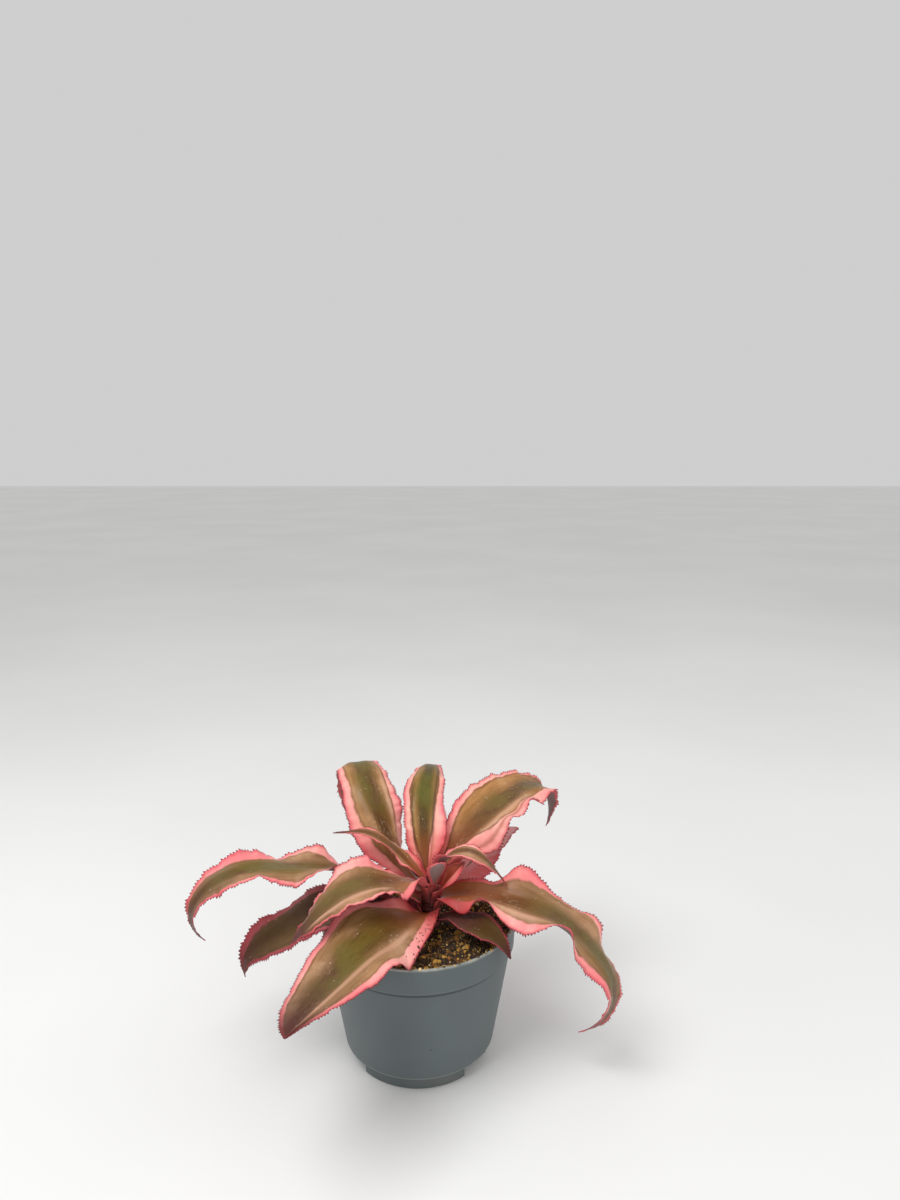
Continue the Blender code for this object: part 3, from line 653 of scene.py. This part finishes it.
def leaf_face():
    """Upper face: olive centre stripe, tan bands, pink margin, crimson teeth, scurfy specks."""
    n = Nodes("leaf_upper")
    place = n.place()
    across, along, margin, pink_width = n.attributes("across", "along", "margin", "pink")
    age_and_shade, blush, seam, raised, tooth, dirt = n.attributes("age_and_shade", "blush", "seam", "line", "tooth",
                                                         "dirt")
    streaks = n.streaks(6.0, 0.03, 9.0, 2.0, 4.0, 0.6)
    fine = n.streaks(60.0, 0.25, 1.0, 1.0, 3.0, 0.6)
    scrape = n.streaks(9.0, 0.5, 5.0, 1.0, 5.0, 0.75)
    cloud = n.noise(place, 55.0)
    mottle = n.noise(place, 260.0)
    base = n.range(along, 0.34, 0.04)
    tip = n.range(along, 0.6, 1.0)
    # Darkening of older leaves, the low ones most: part their own colour, part painted shade
    old_and_shaded = n.range(age_and_shade, 0.4, 1.0)

    # Olive stripe down the middle, greener halfway along a young leaf
    side = n.add(n.math("ABSOLUTE", across), n.sway(streaks, 0.5))
    stripe = n.range(n.add(side, n.sway(cloud, 0.5)), 0.74, 0.14)
    green = n.times(n.between(along, 0.2, 0.5, 0.7, 1.0), n.range(age_and_shade, 0.45, 0.3))
    olive = n.mix(n.range(cloud, 0.4, 0.65), n.mix(green, "664317", "5a571a"), "45330b")

    # Tan bands beside it, golden where seam is high
    band = n.mix(n.range(streaks, 0.35, 0.65), n.mix(seam, "a88260", "bd8a4c"),
                 n.mix(seam, "7d5f3c", "93682c"))
    band = n.mix(n.range(cloud, 0.45, 0.7, 0.0, 0.7), band, n.mix(seam, "bd9674", "c8985a"))

    # Pale grain, red base and blush, worn patches, darkening and dark crimson bases of older leaves
    # (part their own colour, part painted shade), and a brown tip
    worn = n.times(n.range(scrape, 0.52, 0.66), n.range(cloud, 0.52, 0.64))
    old_shaded_base = n.times(n.range(along, 0.75, 0.3), old_and_shaded)
    blade = n.tint(n.mix(stripe, band, olive),
                   ("d3a468", n.range(fine, 0.45, 0.75), 0.16), ("a4592c", base, 0.75),
                   ("b8463e", blush, 0.7), ("c9b694", worn, 0.45), ("4c3b08", old_and_shaded, 0.85),
                   ("55201a", old_shaded_base, 0.9), ("4a2818", tip, 0.85))

    # Pink margin: depth is how far inside its wavering border a point lies, in mm
    wobble = n.add(n.sway(mottle, 1.3), n.sway(streaks, 1.2))
    depth = n.add(n.math("SUBTRACT", margin, pink_width), wobble)
    # Pink turning darker crimson close to the stem: painted shade
    pink = n.tint(n.mix(n.range(cloud, 0.35, 0.65), "f6868a", "ffb4aa"),
                  ("ffc0a8", n.times(n.range(depth, -2.4, -0.9), seam), 0.5),
                  ("d84656", n.range(margin, 1.4, 0.0), 0.65), ("b23a44", tip, 0.75),
                  ("d8443e", base, 0.6), ("a02c2c", n.range(along, 0.16, 0.06), 0.7),
                  ("e0453f", blush, 0.45), ("93323c", old_and_shaded, 0.9))

    # Lit ridges, shaded hollows, and the thin dark line beside the margin
    line = n.times(n.between(depth, -0.5, 0.2, 0.4, 1.0), n.add(n.times(seam, 0.6), 0.1))
    blade = n.tint(blade, ("d9a688", raised, 0.7), ("4a2a14", raised, -0.8), ("56291a", line, 1))
    pink = n.tint(pink, ("a05a3a", raised, -0.7))

    # Crimson teeth, dark point, crumbs of soil and specks of scurf
    crumbs = n.math("MAXIMUM", n.dots(place, 650.0, 0.34), n.dots(place, 310.0, 0.3))
    crumbs = n.times(crumbs, n.range(mottle, 0.4, 0.48))
    specks = n.times(n.dots(place, 420.0, 0.16), n.range(mottle, 0.52, 0.6))
    colour = n.tint(n.mix(n.range(depth, 0.5, -0.5), blade, pink),
                    ("8e1f30", n.range(tooth, 0.15, 0.8), 1),
                    ("521f1c", n.range(along, 0.82, 0.98), 0.85),
                    ("3a2010", crumbs, dirt), ("ecd8c0", specks, 0.5))

    n.feed(n.shader, {"Specular IOR Level": 0.32, "Subsurface Weight": 0.08,
                      "Subsurface Radius": (1.0, 0.35, 0.25), "Subsurface Scale": MM})
    gloss = n.add(n.range(mottle, 0.3, 0.7, 0.3, 0.44), n.times(old_and_shaded, 0.22))
    return n.finish(colour, gloss, n.add(fine, n.times(mottle, 0.35)), 0.35, 0.0003)


def leaf_under():
    """Underside: mealy grey-lilac with fine lengthwise lines, and a pink margin."""
    n = Nodes("leaf_underside")
    place = n.place()
    lines = n.streaks(70.0, 0.12, 1.0, 1.0, 3.0, 0.6)
    meal = n.noise(place, 900.0)
    cloud = n.noise(place, 70.0, 2.0)
    # Older, lower leaves darker underneath: part their own colour, part painted shade
    old_and_shaded = n.range(n.attribute("age_and_shade"), 0.4, 1.0)
    base = n.range(n.attribute("along"), 0.42, 0.06)
    plain = n.math("SUBTRACT", 1.0, n.attribute("blush"), True)
    scurf = n.tint(n.mix(n.range(lines, 0.3, 0.7), "7a6462", "a08c88"),
                   ("7c5850", n.range(cloud, 0.35, 0.65), 0.5), ("4a2824", old_and_shaded, 0.6),
                   ("6e2426", n.times(plain, base), 0.85))
    depth = n.add(n.attribute("margin"), n.sway(cloud, 1.6))
    depth = n.math("SUBTRACT", depth, n.times(n.attribute("pink"), 0.8))
    pink = n.mix(n.times(old_and_shaded, 0.8), "dd6a6c", "7a2830")
    colour = n.tint(n.mix(n.range(depth, 0.5, -0.4), scurf, pink),
                    ("8e1f30", n.range(n.attribute("tooth"), 0.1, 0.9), 1))
    rough = n.range(meal, 0.3, 0.7, 0.6, 0.8)
    return n.finish(colour, rough, n.add(lines, n.times(meal, 0.5)), 0.4, 0.0003)


def pot_finish():
    """Matt blue-grey plastic: painted shade under the band, painted highlights along the band's
    lower edge and the shoulder, dusty rim, worn foot.
    """
    n = Nodes("pot_plastic_fine")
    place = n.place()
    height = n.times(n.node("SeparateXYZ", {0: place}).outputs["Z"], 1 / MM)
    over_foot = n.math("SUBTRACT", height, BAND_FOOT_Z)
    over_shoulder = n.math("SUBTRACT", height, SHOULDER_Z)
    over_rim = n.math("SUBTRACT", height, POT_HEIGHT)
    cloud = n.noise(place, 18.0, 4.0)
    dust = n.range(n.noise(place, 220.0), 0.3, 0.7, 0.35, 0.9)
    wear = n.times(n.range(height, 9.0, 2.0), n.range(n.noise(place, 90.0), 0.4, 0.7))
    spots = n.times(n.dots(place, 130.0, 0.07), n.range(cloud, 0.5, 0.6))
    colour = n.tint(n.mix(n.range(cloud, 0.3, 0.7), "525b5e", "5c6566"),
                    # Dark line just under the rim band: painted shade
                    ("22282a", n.between(over_foot, -2.3, -1.1, 0.2, 0.5), 0.8),
                    # Pale line along the band's lower edge: painted highlight
                    ("8c9698", n.between(over_foot, 0.2, 0.5, 0.7, 1.3), 0.08),
                    # Pale line along the shoulder: painted highlight
                    ("a2a69f", n.between(over_shoulder, -0.3, 0.0, 0.3, 0.7), 0.45),
                    ("a6a69c", n.range(over_rim, -1.4, -0.3), dust),
                    ("7a756a", wear, 0.3), ("231c16", spots, 0.8))
    rough = n.range(cloud, 0.3, 0.7, 0.42, 0.54)
    return n.finish(colour, rough, n.noise(place, 1500.0, 2.0), 0.12, 0.0002)


def soil_finish(name, loose=False):
    """Dark damp peat; loose bits are lighter, each by its own attribute."""
    n = Nodes(name)
    place = n.place()
    grain = n.noise(place, 1400.0, 4.0, 0.7)
    if loose:
        light = n.attribute("light")
        colour = n.tint(n.mix(n.range(light, 0.1, 0.4), "2c1b0d", "8a5c26"),
                        ("c8963f", n.range(light, 0.45, 0.75), 1),
                        ("e4cc9a", n.range(light, 0.9, 0.99), 1),
                        ("3a2614", n.range(grain, 0.4, 0.7), 0.45))
    else:
        cloud = n.noise(place, 240.0, 4.0, 0.6)
        colour = n.mix(n.range(cloud, 0.35, 0.65), "1e140c", "4a321c")
    return n.finish(colour, n.range(grain, 0.3, 0.7, 0.7, 0.95), grain, 0.6, 0.0004)


def stem_finish():
    """Crimson brown skin with soft blotches."""
    n = Nodes("stem_skin")
    cloud = n.noise(n.place(), 300.0, 4.0)
    return n.finish(n.mix(n.range(cloud, 0.3, 0.7), "33110f", "571f1b"), 0.6, cloud, 0.5, 0.0004)


def sheath_finish():
    """Sheath skin: crimson pink towards the blade, darkening at the stem as painted shade, with
    fine lines.
    """
    n = Nodes("sheath_skin")
    rise = n.attribute("rise")
    cloud = n.noise(n.place(), 160.0, 4.0)
    lines = n.noise(n.combine(n.attribute("across"), rise, 0.0), 3.0, 4.0)
    # Crimson is the sheaths' own colour; the near-black at the stem is painted shade
    colour = n.tint(n.mix(n.range(rise, 0.1, 1.0), "2c0f0c", "c4524f"),
                    ("5a1c1a", n.range(lines, 0.35, 0.7), 0.6),
                    ("b0605a", n.range(cloud, 0.4, 0.7), 0.4))
    return n.finish(colour, 0.5, lines, 0.4, 0.0004)


def azimuths(split, snug_turn=None):
    """Azimuths of a ring's columns, in degrees, notch by notch, as in the construction script."""
    over, between = split
    step = 360 / NOTCHES / (over + between)
    places = []
    for k in range(NOTCHES):
        centre = NOTCH_FIRST_AZIMUTH + 360 / NOTCHES * k
        if snug_turn is None:
            places += [centre + step * (i - over / 2) for i in range(over + between)]
            continue
        half = NOTCH_HALF_TURN + snug_turn
        free = 360 / NOTCHES - 2 * half - 2 * SNUG
        places += [centre - half + 2 * half * i / over for i in range(over + 1)]
        places += [centre + half + SNUG + free * i / (between - 2) for i in range(between - 1)]
    return places


def in_notch(split):
    """For each column of a ring, whether it belongs to a notch."""
    over, between = split
    return ([True] * (over + 1) + [False] * (between - 1)) * NOTCHES


def ring_faces(low, high, triangles=True):
    """Faces between two rings of points, either of which may be a single point."""
    sides = max(len(low), len(high))
    faces = []
    for k in range(sides):
        n = (k + 1) % sides
        if len(low) == 1:
            faces.append((low[0], high[n], high[k]))
        elif len(high) == 1:
            faces.append((low[k], low[n], high[0]))
        elif triangles:
            faces += [(low[k], low[n], high[n]), (low[k], high[n], high[k])]
        else:
            faces.append((low[k], low[n], high[n], high[k]))
    return faces


def wall_radius(height):
    """Outside radius of the pot's body under its rim band, in mm."""
    top = RIM_RADIUS - BAND_TAPER - RIM_STEP
    share = (height - SHOULDER_Z) / (BAND_FOOT_Z - SHOULDER_Z)
    return SHOULDER_RADIUS + (top - SHOULDER_RADIUS) * share


def inner_radius(height):
    """Inside radius of the pot, in mm."""
    return wall_radius(max(height, SHOULDER_Z)) - WALL


def soil_radius():
    """Radius of the soil's surface, in mm."""
    return inner_radius(SOIL_RIM_Z) - WALL_GAP


def rounded(corners):
    """The corners of a profile, each but the first and last turned into a small arc."""
    points = [corners[0]]
    for before, corner, after in zip(corners, corners[1:], corners[2:]):
        b = Vector(corner)
        first, last = [b + side.normalized() * min(ARC_RADIUS, side.length * ARC_LARGEST_SHARE)
                       for side in (Vector(before) - b, Vector(after) - b)]
        for k in range(ARC_STEPS + 1):
            s = k / ARC_STEPS
            points.append(tuple(first * (1 - s) ** 2 + b * 2 * s * (1 - s) + last * s ** 2))
    return points + [corners[-1]]


def ring(split, point, notch_point=None, snug_turn=None, slide=0.0):
    """Points in mm round a ring at (radius, height), or at notch_point in the notches if given.

    slide moves the ring's centre from the pot's axis to the stem's, as it goes from 0 to 1.
    """
    points = []
    for azimuth, notched in zip(azimuths(split, snug_turn), in_notch(split)):
        radius, height = notch_point if notched and notch_point else point
        angle = math.radians(azimuth)
        points.append((STEM_X * slide + radius * math.cos(angle), radius * math.sin(angle),
                       height))
    return points


def joined_rings(name, rings, material, capped=False, triangles=True):
    """Object from rings of points in mm, each joined to the next; capped closes both ends."""
    verts = []
    numbers = []
    for points in rings:
        numbers.append(range(len(verts), len(verts) + len(points)))
        verts += [(x * MM, y * MM, z * MM) for x, y, z in points]
    faces = [tuple(numbers[0])[::-1], tuple(numbers[-1])] if capped else []
    for low, high in zip(numbers, numbers[1:]):
        faces += ring_faces(low, high, triangles)
    return mesh_object(name, verts, faces, material)


def settle(piece):
    """Applies a piece's modifiers."""
    graph = bpy.context.evaluated_depsgraph_get()
    mesh = bpy.data.meshes.new_from_object(piece.evaluated_get(graph))
    piece.modifiers.clear()
    piece.data = mesh


def cut_drains(pot):
    """Cuts a drain slot through the inner wall of each notch."""
    cutters = []
    for k in range(NOTCHES):
        bpy.ops.mesh.primitive_cube_add(size=1)
        cutter = bpy.context.object
        cutter.dimensions = (DRAIN_DEPTH * MM, DRAIN_WIDTH * MM, DRAIN_HEIGHT * MM)
        azimuth = math.radians(NOTCH_FIRST_AZIMUTH + 360 / NOTCHES * k)
        radius = (NOTCH_RADIUS - WALL / 2) * MM
        cutter.location = (radius * math.cos(azimuth), radius * math.sin(azimuth), DRAIN_Z * MM)
        cutter.rotation_euler = (0, 0, azimuth)
        slot = pot.modifiers.new(f"slot_{k}", "BOOLEAN")
        slot.operation = "DIFFERENCE"
        slot.object = cutter
        cutters.append(cutter)
    settle(pot)
    for cutter in cutters:
        bpy.data.objects.remove(cutter, do_unlink=True)


def make_pot():
    """The pot: rim band, tapering body, and a foot with three notches that water runs out of."""
    notch_in = NOTCH_RADIUS - WALL
    foot_in = FOOT_RADIUS - WALL
    inner_foot = SHOULDER_Z + ROUNDING
    under_shoulder = SHOULDER_Z - ROUNDING / 2
    body = np.linspace(BODY_LOW_Z, BAND_FOOT_Z - BODY_HIGH_GAP, BODY_RINGS)
    profile = [(FOOT_RADIUS + ROUNDING / 2, SHOULDER_Z - ROUNDING),
               (FOOT_RADIUS + ROUNDING / 2 + 0.3, under_shoulder),
               (SHOULDER_RADIUS, SHOULDER_Z - 0.1),
               (SHOULDER_RADIUS + SHOULDER_BULGE, SHOULDER_Z + SHOULDER_RISE),
               *[(wall_radius(height), height) for height in body],
               (wall_radius(BAND_FOOT_Z), BAND_FOOT_Z + BAND_LIP),
               (RIM_RADIUS - BAND_TAPER, BAND_FOOT_Z + BAND_LIP),
               (RIM_RADIUS, POT_HEIGHT), (inner_radius(POT_HEIGHT), POT_HEIGHT),
               (inner_radius(INSIDE_RING_Z), INSIDE_RING_Z),
               (inner_radius(inner_foot), inner_foot)]
    foot = [((NOTCH_RADIUS, 0), None),
            ((FOOT_RADIUS - ROUNDING, 0), (NOTCH_RADIUS, NOTCH_TOP_Z)),
            ((FOOT_RADIUS - ROUNDING * 0.3, ROUNDING * 0.3), (FOOT_RADIUS - 1, NOTCH_TOP_Z)),
            ((FOOT_RADIUS, ROUNDING), (FOOT_RADIUS, NOTCH_TOP_Z)),
            ((FOOT_RADIUS + 0.2, NOTCH_TOP_Z + 0.4), None)]
    inside = [((foot_in, under_shoulder), None),
              ((foot_in - ROUNDING / 2, FLOOR), (notch_in, NOTCH_TOP_Z + WALL)),
              ((notch_in, FLOOR), None)]
    rings = [[(0, 0, 0)],
             *[ring(POT_SPLIT, *points, 0.0) for points in foot],
             *[ring(POT_SPLIT, point) for point in rounded(profile)],
             *[ring(POT_SPLIT, *points, NOTCH_WALL_TURN) for points in inside],
             [(0, 0, FLOOR)]]
    pot = joined_rings("pot_fine", rings, pot_finish())
    cut_drains(pot)
    pot.data.shade_smooth()
    pot.data.set_sharp_from_angle(angle=math.radians(SHARP_ANGLE))
    return pot


def soil_height(x, y):
    """Height of the soil's surface at a point, in mm."""
    radius = math.hypot(x, y)
    outer = soil_radius()
    share = min(1.0, max(0.0, 1 - (radius - STEM_X) / (outer - STEM_X)))
    from_stem = math.hypot(x - STEM_X, y) - SMOOTH_BY_STEM
    away = min(1.0, max(0.0, from_stem / SMOOTH_BY_STEM_FADE))
    near_wall = min(1.0, max(0.0, (outer - radius) / SMOOTH_BY_WALL))
    ripple = math.sin(0.31 * x + 0.7) * math.cos(0.27 * y - 0.4) + 0.5 * math.sin(0.62 * (x - y))
    lumps = SOIL_LUMP * away * (0.3 + 0.7 * near_wall) * ripple
    spot = Vector((x * SOIL_ROUGH_SCALE, y * SOIL_ROUGH_SCALE, 3.0))
    rough = SOIL_ROUGH * noise.fractal(spot, 0.7, 2.1, 4)
    return SOIL_RIM_Z + (SOIL_STEM_Z - SOIL_RIM_Z) * share + lumps + rough * (0.25 + 0.75 * away)


def make_soil(material):
    """Soil body with a rough surface, and the hole that the stem stands in."""
    hole = STEM_RADIUS + GAP
    outer = soil_radius()
    foot = FOOT_RADIUS - WALL
    notch = (NOTCH_RADIUS - WALL - WALL_GAP, NOTCH_TOP_Z + WALL + WALL_GAP)
    shoulder_in = inner_radius(SHOULDER_Z) - 2 * WALL_GAP
    shoulder = foot - 2 * WALL_GAP
    low = [((notch[0], FLOOR + WALL_GAP), None),
           ((foot - 2.5 * WALL_GAP, FLOOR + WALL_GAP), notch),
           ((shoulder, SHOULDER_Z - WALL_GAP), (shoulder, SHOULDER_Z + WALL_GAP))]
    rings = [*[ring(SOIL_SPLIT, *points, NOTCH_SOIL_TURN) for points in low],
             ring(SOIL_SPLIT, (shoulder_in, SHOULDER_Z + 2 * ROUNDING)),
             ring(SOIL_SPLIT, (inner_radius(STEM_FOOT_Z) - WALL_GAP, STEM_FOOT_Z))]
    for k in range(SOIL_RINGS):
        share = k / (SOIL_RINGS - 1)
        level = ring(SOIL_SPLIT, (outer + (hole - outer) * share, SOIL_RIM_Z), slide=share)
        rings.append([(x, y, soil_height(x, y)) for x, y, _ in level])
    rings.append(ring(SOIL_SPLIT, (hole, STEM_FOOT_Z - GAP), slide=1.0))
    return joined_rings("soil_fine", rings, material, capped=True)


def soil_spot(rng, edge):
    """A random point on the soil, in mm, inside the pot by edge and clear of the stem."""
    limit = soil_radius() - edge
    clear = STEM_RADIUS + STEM_CLEARANCE + edge
    while True:
        x, y = rng.uniform(-limit, limit, 2)
        if math.hypot(x, y) < limit and math.hypot(x - STEM_X, y) > clear:
            return x, y


def make_crumbs(name, count, sizes, detail, seed, material):
    """Peat and bark crumbs over the soil and a few on the rim, as one mesh with a tone for each."""
    rng = np.random.default_rng(seed)
    ball = bmesh.new()
    bmesh.ops.create_icosphere(ball, subdivisions=detail, radius=1.0)
    base = np.array([v.co for v in ball.verts])
    links = np.array([[v.index for v in f.verts] for f in ball.faces])
    ball.free()
    verts = []
    faces = []
    tones = []
    for k in range(count):
        size = sizes[0] + (sizes[1] - sizes[0]) * rng.random() ** SMALL_IS_COMMON
        x, y = soil_spot(rng, size)
        z = soil_height(x, y) + size * CRUMB_SINK
        if k % RIM_CRUMB_EVERY == 0:
            angle = rng.uniform(0, 2 * math.pi)
            size = min(size, RIM_CRUMB_SIZE)
            radius = inner_radius(POT_HEIGHT) + rng.uniform(*RIM_CRUMB_REACH)
            x, y = radius * math.cos(angle), radius * math.sin(angle)
            z = POT_HEIGHT + RIM_CRUMB_LIFT
            if radius < inner_radius(POT_HEIGHT):
                z -= RIM_CRUMB_DROP
        shape = base * (1 + CRUMB_STRETCH * rng.standard_normal((1, 3)).clip(-1, 1))
        lumps = [1 + CRUMB_LUMP * noise.noise(Vector(p * CRUMB_LUMP_SCALE + k)) for p in base]
        shape = shape * np.array(lumps)[:, None] * size
        turn = np.linalg.qr(rng.standard_normal((3, 3)))[0]
        verts.append(shape @ turn.T + (x, y, z))
        faces.append(links + k * len(base))
        tones.append(np.full(len(base), rng.random()))
    crumbs = mesh_object(name, (np.concatenate(verts) * MM).tolist(),
                         np.concatenate(faces).tolist(), material, smooth=detail > 1)
    mark(crumbs, "light", np.concatenate(tones))
    return crumbs


def make_fibres(material):
    """Thin roots and bark fibres lying on the soil."""
    rng = np.random.default_rng(FIBRE_SEED)
    verts = []
    faces = []
    tones = []
    for _ in range(FIBRES):
        x, y = soil_spot(rng, FIBRE_ROOM)
        heading = rng.uniform(0, 2 * math.pi)
        bend = rng.uniform(-FIBRE_BEND, FIBRE_BEND)
        length = rng.uniform(*FIBRE_LENGTHS)
        radius = rng.uniform(*FIBRE_RADII)
        arch = rng.uniform(*FIBRE_ARCHES)
        first = len(verts)
        for k in range(FIBRE_POINTS):
            s = k / (FIBRE_POINTS - 1)
            z = soil_height(x, y) + FIBRE_LIFT + arch * math.sin(math.pi * s)
            swell = math.sin(math.pi * min(max(s, FIBRE_TIP), 1 - FIBRE_TIP))
            thin = radius * (0.35 + 0.65 * swell)
            for j in range(FIBRE_SIDES):
                a = 2 * math.pi * j / FIBRE_SIDES
                verts.append(((x - math.sin(heading) * math.cos(a) * thin) * MM,
                              (y + math.cos(heading) * math.cos(a) * thin) * MM,
                              (z + math.sin(a) * thin) * MM))
            heading += bend
            x += math.cos(heading) * length / FIBRE_POINTS
            y += math.sin(heading) * length / FIBRE_POINTS
            if math.hypot(x, y) > inner_radius(SOIL_RIM_Z) - FIBRE_WALL_GAP:
                heading += math.pi / 2
        tones += [rng.uniform(*FIBRE_TONES)] * (FIBRE_POINTS * FIBRE_SIDES)
        rings = [range(k, k + FIBRE_SIDES) for k in range(first, len(verts), FIBRE_SIDES)]
        for low, high in zip(rings, rings[1:]):
            faces += ring_faces(low, high, triangles=False)
        faces += [tuple(rings[0])[::-1], tuple(rings[-1])]
    fibres = mesh_object("soil_fibres", verts, faces, material)
    mark(fibres, "light", tones)
    return fibres


def stem_radius(height):
    """Radius of the stem, which narrows above its shoulder, in mm."""
    share = np.clip((height - STEM_SHOULDER_Z) / (STEM_TOP_Z - STEM_SHOULDER_Z), 0, 1)
    return STEM_RADIUS + (STEM_TOP_RADIUS - STEM_RADIUS) * share


def make_stem():
    """The short stem with the rings that fallen leaves have left."""
    rings = [[(STEM_X, 0, STEM_FOOT_Z)]]
    for height in np.linspace(STEM_FOOT_Z, STEM_TOP_Z, STEM_RINGS):
        ripple = STEM_RIPPLE * math.sin(height * STEM_RIPPLE_RATE) - STEM_INSET
        points = []
        for k in range(STEM_SIDES):
            angle = 2 * math.pi * k / STEM_SIDES
            spot = Vector((math.cos(angle), math.sin(angle), height * STEM_BUMP_SCALE))
            reach = stem_radius(height) + ripple + STEM_BUMP * noise.noise(spot)
            points.append((STEM_X + reach * math.cos(angle), reach * math.sin(angle), height))
        rings.append(points)
    rings.append([(STEM_X, 0, STEM_TOP_Z + STEM_CAP)])
    return joined_rings("stem_fine", rings, stem_finish(), triangles=False)


def make_sheaths():
    """The clasping foot of every leaf: a curved scale from the stem out to the blade's base."""
    size = SHEATH_ROWS * SHEATH_COLUMNS
    numbers = np.arange(size).reshape(SHEATH_ROWS, SHEATH_COLUMNS)
    rise = np.linspace(0, 1, SHEATH_ROWS)[:, None]
    across = np.linspace(-1, 1, SHEATH_COLUMNS)[None, :]
    half_turn = math.radians(SHEATH_HALF_TURN)
    verts = []
    faces = []
    for leaf in LEAVES.values():
        angle = math.radians(leaf["azimuth"]) + across * half_turn * (1 - SHEATH_NARROWING * rise)
        foot = leaf["height"] - SHEATH_LENGTH
        height = foot + SHEATH_LENGTH * rise - SHEATH_DROOP * across ** 2 * rise
        stem = stem_radius(height)
        flare = rise ** SHEATH_FLARE * (1 - 0.5 * across ** 2)
        radius = stem + (leaf["reach"] + SHEATH_OVERLAP - stem) * flare
        outer = numbers + len(verts) * size
        inner = outer + size
        for layer in (radius, radius - SHEATH_THICKNESS):
            verts.append(np.stack([STEM_X + layer * np.cos(angle), layer * np.sin(angle),
                                   height], -1).reshape(-1, 3))
        rim = [*outer[0, :], *outer[1:, -1], *outer[-1, -2::-1], *outer[-2:0:-1, 0]]
        rim = [int(k) for k in rim]
        faces += [(b, a, a + size, b + size) for a, b in zip(rim, rim[1:] + rim[:1])]
        faces += quads(outer) + [quad[::-1] for quad in quads(inner)]
    sheaths = mesh_object("leaf_sheaths", (np.concatenate(verts) * MM).tolist(), faces,
                          sheath_finish())
    mark(sheaths, "across", np.tile((across + 0 * rise).reshape(-1), len(verts)))
    mark(sheaths, "rise", np.tile((rise + 0 * across).reshape(-1), len(verts)))
    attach(sheaths, "root")


def make_leaves():
    """A fine blade in place of each leaf's solid."""
    upper, under = leaf_face(), leaf_under()
    for k, (name, leaf) in enumerate(LEAVES.items()):
        piece = fine_blade(name, leaf, LEAF_SEED + LEAF_SEED_STEP * k, upper, under)
        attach(piece, "root")
        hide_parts(name)


def make_pot_and_soil():
    """Pot, soil and stem in place of their solids, and loose bits on the soil."""
    pot = make_pot()
    soil = make_soil(soil_finish("soil_bed"))
    grains = soil_finish("soil_grains", loose=True)
    crumbs = make_crumbs("soil_crumbs", CRUMBS, CRUMB_SIZES, 2, CRUMB_SEED, grains)
    grit = make_crumbs("soil_grit", GRIT, GRIT_SIZES, 1, GRIT_SEED, grains)
    fibres = make_fibres(grains)
    stem = make_stem()
    for piece, node, slot in ((pot, "pot", "pot_plastic"), (soil, "soil", "soil"),
                              (stem, "stem", "stem")):
        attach(piece, "root")
        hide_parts(node)
    for piece in (crumbs, grit, fibres):
        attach(piece, "root")


def make_camera():
    """The photograph's camera."""
    data = bpy.data.cameras.new("camera")
    data.lens = LENS
    data.clip_end = CAMERA_REACH
    camera = add_object("camera", data)
    camera.location = CAMERA_PLACE
    camera.rotation_euler = (math.radians(CAMERA_TILT), 0, 0)
    bpy.context.scene.camera = camera


def area_light(name, place, size, power):
    """A square light that faces the plant."""
    data = bpy.data.lights.new(name, "AREA")
    data.size = size
    data.energy = power
    light = add_object(name, data)
    light.location = place
    light.rotation_euler = (Vector(LIT_POINT) - Vector(place)).to_track_quat("-Z", "Y").to_euler()


def make_studio():
    """A pale floor and soft light from above, in front and the right."""
    n = Nodes("floor_pale")
    tones = n.mix(n.range(n.noise(n.place(), 3.0), 0.3, 0.7), *FLOOR_TONES)
    n.feed(n.shader, {"Base Color": tones, "Roughness": 0.6})
    reach = FLOOR_REACH
    corners = [(-reach, -reach, 0), (reach, -reach, 0), (reach, reach, 0), (-reach, reach, 0)]
    floor = mesh_object("floor", corners, [(0, 1, 2, 3)], n.material)
    for light in LIGHTS:
        area_light(*light)
    world = bpy.data.worlds.new("studio")
    world.use_nodes = True
    sky = world.node_tree.nodes["Background"]
    sky.inputs["Color"].default_value = (1.0, 1.0, 1.0, 1.0)
    sky.inputs["Strength"].default_value = SKY_STRENGTH
    bpy.context.scene.world = world
    bpy.context.scene.view_settings.view_transform = "Standard"


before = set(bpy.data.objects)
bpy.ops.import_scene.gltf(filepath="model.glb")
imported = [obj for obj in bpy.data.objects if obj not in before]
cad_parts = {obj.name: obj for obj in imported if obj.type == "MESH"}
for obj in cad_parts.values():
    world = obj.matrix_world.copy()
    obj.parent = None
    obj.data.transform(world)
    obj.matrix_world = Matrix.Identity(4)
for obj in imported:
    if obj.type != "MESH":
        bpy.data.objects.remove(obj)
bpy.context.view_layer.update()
make_camera()
make_studio()
make_pot_and_soil()
make_leaves()
make_sheaths()
